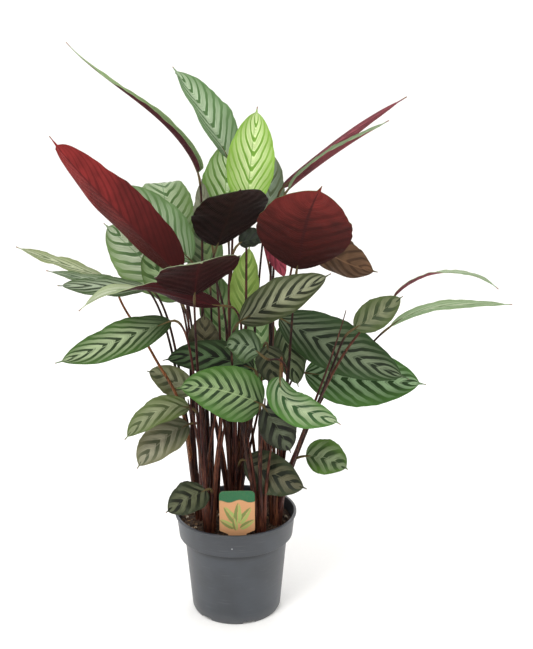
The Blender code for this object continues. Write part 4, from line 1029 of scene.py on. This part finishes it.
def build_tag(settings):
    """The tag: rows across a stake that widens into a plate with round corners, given a card's thickness.

    It leans back about its foot, and its plate bows with the square of the distance from its middle."""
    low = -TAG_STAKE_DEPTH
    high = TAG_TOP - SOIL_TOP
    corner = TAG_CORNER * (1 - np.sin(np.linspace(0, np.pi / 2, 16)[1:]))
    z = np.concatenate([np.linspace(low, high - TAG_CORNER, 130), high - corner])
    half = np.interp(z, [low, low + TAG_POINT_LENGTH, TAG_SHOULDER_LOW, TAG_SHOULDER_HIGH],
                     [TAG_POINT_HALF_WIDTH, TAG_STAKE_WIDTH / 2, TAG_STAKE_WIDTH / 2, TAG_WIDTH / 2])
    above = np.maximum(z - (high - TAG_CORNER), 0)
    half = half - TAG_CORNER + np.sqrt(np.maximum(TAG_CORNER**2 - above**2, 0))
    x = half[:, None] * np.linspace(-1, 1, 85)[None, :]
    z = z[:, None] + 0 * x
    bow = 0.0016 * smoothstep(z, 0.02, high) * (x / TAG_WIDTH * 2) ** 2
    front, back = (np.stack([x, side * TAG_THICKNESS / 2 - bow, z], axis=-1) for side in (-1, 1))
    points, faces, _ = closed_sheet(front, back)
    cos, sin = math.cos(TAG_LEAN), math.sin(TAG_LEAN)
    points = points @ np.array([[1, 0, 0], [0, cos, sin], [0, -sin, cos]]).T + (*TAG_PLACE, SOIL_TOP)
    colours = tag_print(x, z, settings).reshape(-1, 4)
    plain = np.tile(settings.ground, (len(colours), 1))
    make_piece("printed_tag", points, [faces], [printed_card("laminated_card")], "plant_tag", "tag_card",
               carried={"print": np.concatenate([colours, plain])})


def even_skin(part, share, mood):
    """A part and what its points carry, the same for all."""
    return part, np.tile([share, 1.0, mood], (len(part[0]), 1))


def crown(place):
    """A shoot's crown: a low dome that stands 12 mm deep in the soil."""
    dome = [(0, -0.012), (CROWN_RADIUS - 0.0015, -0.012), (CROWN_RADIUS - 0.0005, -0.002),
            (CROWN_RADIUS * 0.75, 0.0035), (CROWN_RADIUS * 0.4, 0.0055), (0, CROWN_ABOVE_SOIL)]
    points, *faces = turned_body(dome, 32)
    return points + (*place, SOIL_TOP), *faces


def stalk(spec, place, sheath, mood, settings):
    """One leaf's stalk, as a part and what its points carry: a tube along its path and on under its rib.

    Its radius falls evenly from foot to neck, with a step at the sheath's end, a swelling below the blade,
    and a taper along the rib."""
    away = seen([spec["rib"][0]])[0, :2] - np.array(place)
    out = away / max(np.linalg.norm(away), 1e-6)
    start = (*(np.array(place) + STEM_RING_RADIUS * out), *(STEM_LEAN * out))
    share = np.linspace(0, 1, STALK_RINGS)
    path = even_points(stalk_path(spec, start), share)
    rib = smooth_line(seen(spec["rib"]), np.linspace(0.012, settings.rib_share, RIB_RINGS))
    distance = (1 - share) * np.linalg.norm(np.diff(path, axis=0), axis=1).sum()
    radius = settings.foot_radius + (STEM_NECK_RADIUS - settings.foot_radius) * share**0.8
    radius = radius * (1 + SHEATH_STEP * (1 - smoothstep(share, sheath, sheath + 0.03)))
    swelling = smoothstep(-distance, -0.024, -0.017) * (1 - smoothstep(-distance, -0.004, 0.001))
    radius = radius + settings.joint_swelling * swelling
    taper = np.linspace(radius[-1], 0.0004, RIB_RINGS)
    part = tube(np.concatenate([path, rib]), np.concatenate([radius, taper]), STALK_SIDES)
    share = np.concatenate([share, np.ones(RIB_RINGS)])
    distance = np.concatenate([distance, np.zeros(RIB_RINGS)])
    rings = np.stack([share, distance, np.full(len(share), mood)], axis=1)
    return part, np.concatenate([np.repeat(rings, STALK_SIDES, axis=0), rings[:1], rings[-1:]])


def old_sheath(place, turn, height):
    """A withered sheath at a crown's edge: a thin tube that leans out with the square of its height."""
    out = np.array([math.cos(turn), math.sin(turn), 0])
    foot = np.array([*place, SOIL_TOP - 0.005]) + 0.008 * out
    share = np.linspace(0, 1, SHEATH_RINGS)
    rise = height * share[:, None]
    path = foot + rise * np.array([0, 0, 1]) + 0.6 * rise**2 * out
    return tube(path, 0.0034 - 0.0022 * share**2, 10)


def spear(place):
    """The rolled leaf: an even taper along the polynomial from its crown through its points."""
    knots = np.concatenate([[(*place, SOIL_TOP)], seen(SPEAR)])
    path = smooth_line(knots, np.linspace(0, 1, SPEAR_RINGS))
    return tube(path, np.linspace(STEM_FOOT_RADIUS, SPEAR_TIP_RADIUS, SPEAR_RINGS), STALK_SIDES)


def build_stalks(settings):
    """Each shoot: its crown, its stalks, its old sheaths, and the spear where it has one.

    Its points carry (share along the stalk, distance to the blade, mood)."""
    rng = np.random.default_rng(3)
    skin = stalk_skin("leaf_stalk_skin")
    for name, place in CROWNS.items():
        bodies = [even_skin(crown(place), 0.0, 0.3)]
        for leaf_name, spec in LEAVES.items():
            if spec["shoot"] == name:
                sheath, mood = rng.uniform(0.28, 0.5), rng.uniform(0, 0.85)
                bodies.append(stalk(spec, place, sheath, STALK_MOODS.get(leaf_name, mood), settings))
        for turn in rng.uniform(0, 2 * np.pi, settings.old_sheaths):
            sheath = old_sheath(place, turn, rng.uniform(0.06, 0.25))
            bodies.append(even_skin(sheath, 0.2, rng.uniform(0.1, 0.9)))
        if name == SPEAR_SHOOT:
            bodies.append(even_skin(spear(place), 0.5, 0.5))
        parts, carried = zip(*bodies)
        points, faces = join_parts(parts)
        make_piece(f"stalks_{name}", points, faces, [skin], f"shoot_{name}", "stem_brown",
                   carried={"stalk": np.concatenate(carried)})


def build_leaves(settings):
    """Each leaf: a pleated, striped blade, with its upper and under sides in skins of their own."""
    for name, spec in LEAVES.items():
        points, faces, kinds, pattern = blade_solid(spec, LOOKS[name], settings)
        finishes = [blade_upper(f"leaf_{name}_waxy_upper_skin", LOOKS[name]),
                    blade_under(f"leaf_{name}_under_skin", LOOKS[name])]
        make_piece(f"blade_{name}", points, [faces], finishes, f"leaf_{name}", "leaf_green", kinds,
                   {"stripe": pattern})


def backdrop():
    """The backdrop's points and faces: a flat disc that sweeps up through a quarter circle into a wall."""
    bend = np.linspace(0, np.pi / 2, BACKDROP_RINGS)[1:]
    edge = BACKDROP_FLAT + BACKDROP_BEND
    flat = np.linspace(0.02, BACKDROP_FLAT, BACKDROP_RINGS)
    radius = np.concatenate([flat, BACKDROP_FLAT + BACKDROP_BEND * np.sin(bend), [edge]])
    height = np.concatenate([np.zeros(BACKDROP_RINGS), BACKDROP_BEND * (1 - np.cos(bend)), [BACKDROP_TOP]])
    turn = np.linspace(0, 2 * np.pi, BACKDROP_SIDES, endpoint=False)[None, :]
    rings = np.stack([
        radius[:, None] * np.cos(turn), radius[:, None] * np.sin(turn), height[:, None] + 0 * turn], axis=-1)
    points = np.concatenate([rings.reshape(-1, 3), [[0, 0, 0]]])
    around = np.arange(BACKDROP_SIDES)
    fan = np.stack([around, np.roll(around, -1), np.full(BACKDROP_SIDES, len(points) - 1)], axis=1)
    return points, [grid_faces(len(radius), BACKDROP_SIDES, closed=True)[:, ::-1], fan]


def build_stage(settings):
    """The stage: the backdrop, a pale sky, soft lights that look at the plant's middle, and the camera."""
    floor = make_piece("backdrop", *backdrop(), [studio_paper("matt_backdrop_paper", settings)])

    scene = bpy.context.scene
    scene.world = bpy.data.worlds.new("studio")
    scene.world.use_nodes = True
    sky = scene.world.node_tree.nodes["Background"].inputs
    sky["Color"].default_value = settings.sky
    sky["Strength"].default_value = settings.sky_strength
    for name, place, size, power in STUDIO_LIGHTS:
        light = bpy.data.lights.new(name, "AREA")
        light.shape = "DISK"
        light.size = size
        light.energy = power * settings.light_power
        lamp = bpy.data.objects.new(name, light)
        scene.collection.objects.link(lamp)
        lamp.location = place
        lamp.rotation_euler = (Vector(LAMP_AIM) - Vector(place)).to_track_quat("-Z", "Y").to_euler()

    camera = bpy.data.cameras.new("camera")
    camera.sensor_fit = "VERTICAL"
    camera.sensor_height = 36
    camera.lens = settings.lens
    eye = bpy.data.objects.new("camera", camera)
    scene.collection.objects.link(eye)
    eye.location = (0, -EYE_DISTANCE, EYE_HEIGHT)
    turn, tilt = settings.camera_turn, settings.camera_tilt
    forward = Vector((math.sin(turn) * math.cos(tilt), math.cos(turn) * math.cos(tilt), -math.sin(tilt)))
    eye.rotation_euler = forward.to_track_quat("-Z", "Y").to_euler()
    scene.camera = eye
    scene.view_settings.view_transform = "Standard"


# What the settings' colours and lengths share
Colour = partial(FloatVectorProperty, subtype="COLOR", size=4, min=0, max=1)
Length = partial(FloatProperty, unit="LENGTH", min=0)


class PotSettings(PropertyGroup):
    tint: Colour(name="Plastic", description="Colour of the pot's plastic", default=linear("#34373C"))
    light: Colour(
        name="Lighter plastic", description="Colour where the skin is paler", default=linear("#3B3F45"))
    dust: Colour(name="Dust", description="Colour of the dust and rubbing", default=linear("#5C5E60"))


class SoilSettings(PropertyGroup):
    crumbs: IntProperty(name="Crumbs", description="How many loose bits lie on the soil", default=1300, min=0)
    crumb_size: Length(name="Crumb size", description="Length of the largest bits", default=0.0065, min=0.001)


class TagSettings(PropertyGroup):
    head: Colour(name="Head", description="Colour of the tag's head", default=linear("#14603F"))
    ground: Colour(name="Ground", description="Colour of the tag's ground", default=linear("#C08F66"))
    motif: Colour(name="Leaves", description="Colour of the printed leaves", default=linear("#93A45C"))


class StalkSettings(PropertyGroup):
    old_sheaths: IntProperty(
        name="Old sheaths", description="Withered sheaths without a leaf round each shoot", default=7, min=0)
    foot_radius: Length(
        name="Foot radius", description="A stalk's radius at the soil", default=0.0036, min=0.002)
    joint_swelling: Length(
        name="Joint swelling", description="How much thicker a stalk is below its blade", default=0.0004)
    rib_share: FloatProperty(
        name="Rib", description="Share of the blade that its stalk runs on under", default=0.12, min=0.02,
        max=0.5, subtype="FACTOR")


class LeafSettings(PropertyGroup):
    rows: IntProperty(name="Rows", description="Points along a blade", default=90, min=20, max=200)
    columns: IntProperty(name="Columns", description="Points across a blade", default=29, min=9, max=80)
    pleat: Length(
        name="Pleat height", description="How high a blade is pleated along its side veins", default=0.0005)
    keel: Length(name="Keel height", description="How far the rib stands out below", default=0.0009)


class StageSettings(PropertyGroup):
    floor: Colour(name="Backdrop", description="Colour of the backdrop paper", default=linear("#FCFBF9"))
    sky: Colour(name="Sky", description="Colour of the light from all round", default=(1.0, 1.0, 1.0, 1.0))
    sky_strength: FloatProperty(
        name="Sky strength", description="Strength of that light", default=0.95, min=0)
    light_power: FloatProperty(name="Lamps", description="Power of the soft lamps", default=1.0, min=0)
    lens: FloatProperty(name="Lens", description="Focal length in millimetres", default=49.9, min=1)
    camera_turn: FloatProperty(
        name="Turn", description="How far the camera looks to the right", default=math.radians(2.1),
        subtype="ANGLE")
    camera_tilt: FloatProperty(
        name="Tilt", description="How far the camera looks down", default=math.radians(13.3), subtype="ANGLE")


class PLANT_OT_pot(Operator):
    """Make the moulded pot"""
    bl_idname = "plant.pot"
    bl_label = "Pot"

    def execute(self, context):
        build_pot(context.scene.plant_pot)
        return {"FINISHED"}


class PLANT_OT_soil(Operator):
    """Make the peat and its crumbs"""
    bl_idname = "plant.soil"
    bl_label = "Soil"

    def execute(self, context):
        build_soil(context.scene.plant_soil)
        return {"FINISHED"}


class PLANT_OT_tag(Operator):
    """Make the printed tag"""
    bl_idname = "plant.tag"
    bl_label = "Tag"

    def execute(self, context):
        build_tag(context.scene.plant_tag)
        return {"FINISHED"}


class PLANT_OT_stalks(Operator):
    """Make the shoots' stalks"""
    bl_idname = "plant.stalks"
    bl_label = "Stalks"

    def execute(self, context):
        build_stalks(context.scene.plant_stalks)
        return {"FINISHED"}


class PLANT_OT_leaves(Operator):
    """Make the leaf blades"""
    bl_idname = "plant.leaves"
    bl_label = "Leaves"

    def execute(self, context):
        build_leaves(context.scene.plant_leaves)
        return {"FINISHED"}


class PLANT_OT_stage(Operator):
    """Make the backdrop, the lights and the camera"""
    bl_idname = "plant.stage"
    bl_label = "Stage"

    def execute(self, context):
        build_stage(context.scene.plant_stage)
        return {"FINISHED"}


# Each group in the order it is made, with its settings and its operator
GROUPS = (
    ("pot", PotSettings, PLANT_OT_pot), ("soil", SoilSettings, PLANT_OT_soil),
    ("tag", TagSettings, PLANT_OT_tag), ("stalks", StalkSettings, PLANT_OT_stalks),
    ("leaves", LeafSettings, PLANT_OT_leaves), ("stage", StageSettings, PLANT_OT_stage),
)


class PLANT_PT_panel(Panel):
    """The plant's sizes, colours and pieces"""
    bl_idname = "PLANT_PT_panel"
    bl_label = "Potted plant"
    bl_space_type = "VIEW_3D"
    bl_region_type = "UI"
    bl_category = "Plant"

    def draw(self, context):
        for group, _, operator in GROUPS:
            box = self.layout.box()
            settings = getattr(context.scene, f"plant_{group}")
            for key in settings.bl_rna.properties.keys():
                if key not in ("rna_type", "name"):
                    box.prop(settings, key)
            box.operator(operator.bl_idname)


def register():
    for group, kind, operator in GROUPS:
        bpy.utils.register_class(kind)
        bpy.utils.register_class(operator)
        setattr(bpy.types.Scene, f"plant_{group}", PointerProperty(type=kind))
    bpy.utils.register_class(PLANT_PT_panel)


def unregister():
    bpy.utils.unregister_class(PLANT_PT_panel)
    for group, kind, operator in GROUPS:
        delattr(bpy.types.Scene, f"plant_{group}")
        bpy.utils.unregister_class(operator)
        bpy.utils.unregister_class(kind)


def main():
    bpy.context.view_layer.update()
    register()
    for group, _, _ in GROUPS:
        getattr(bpy.ops.plant, group)()


if __name__ == "__main__":
    main()
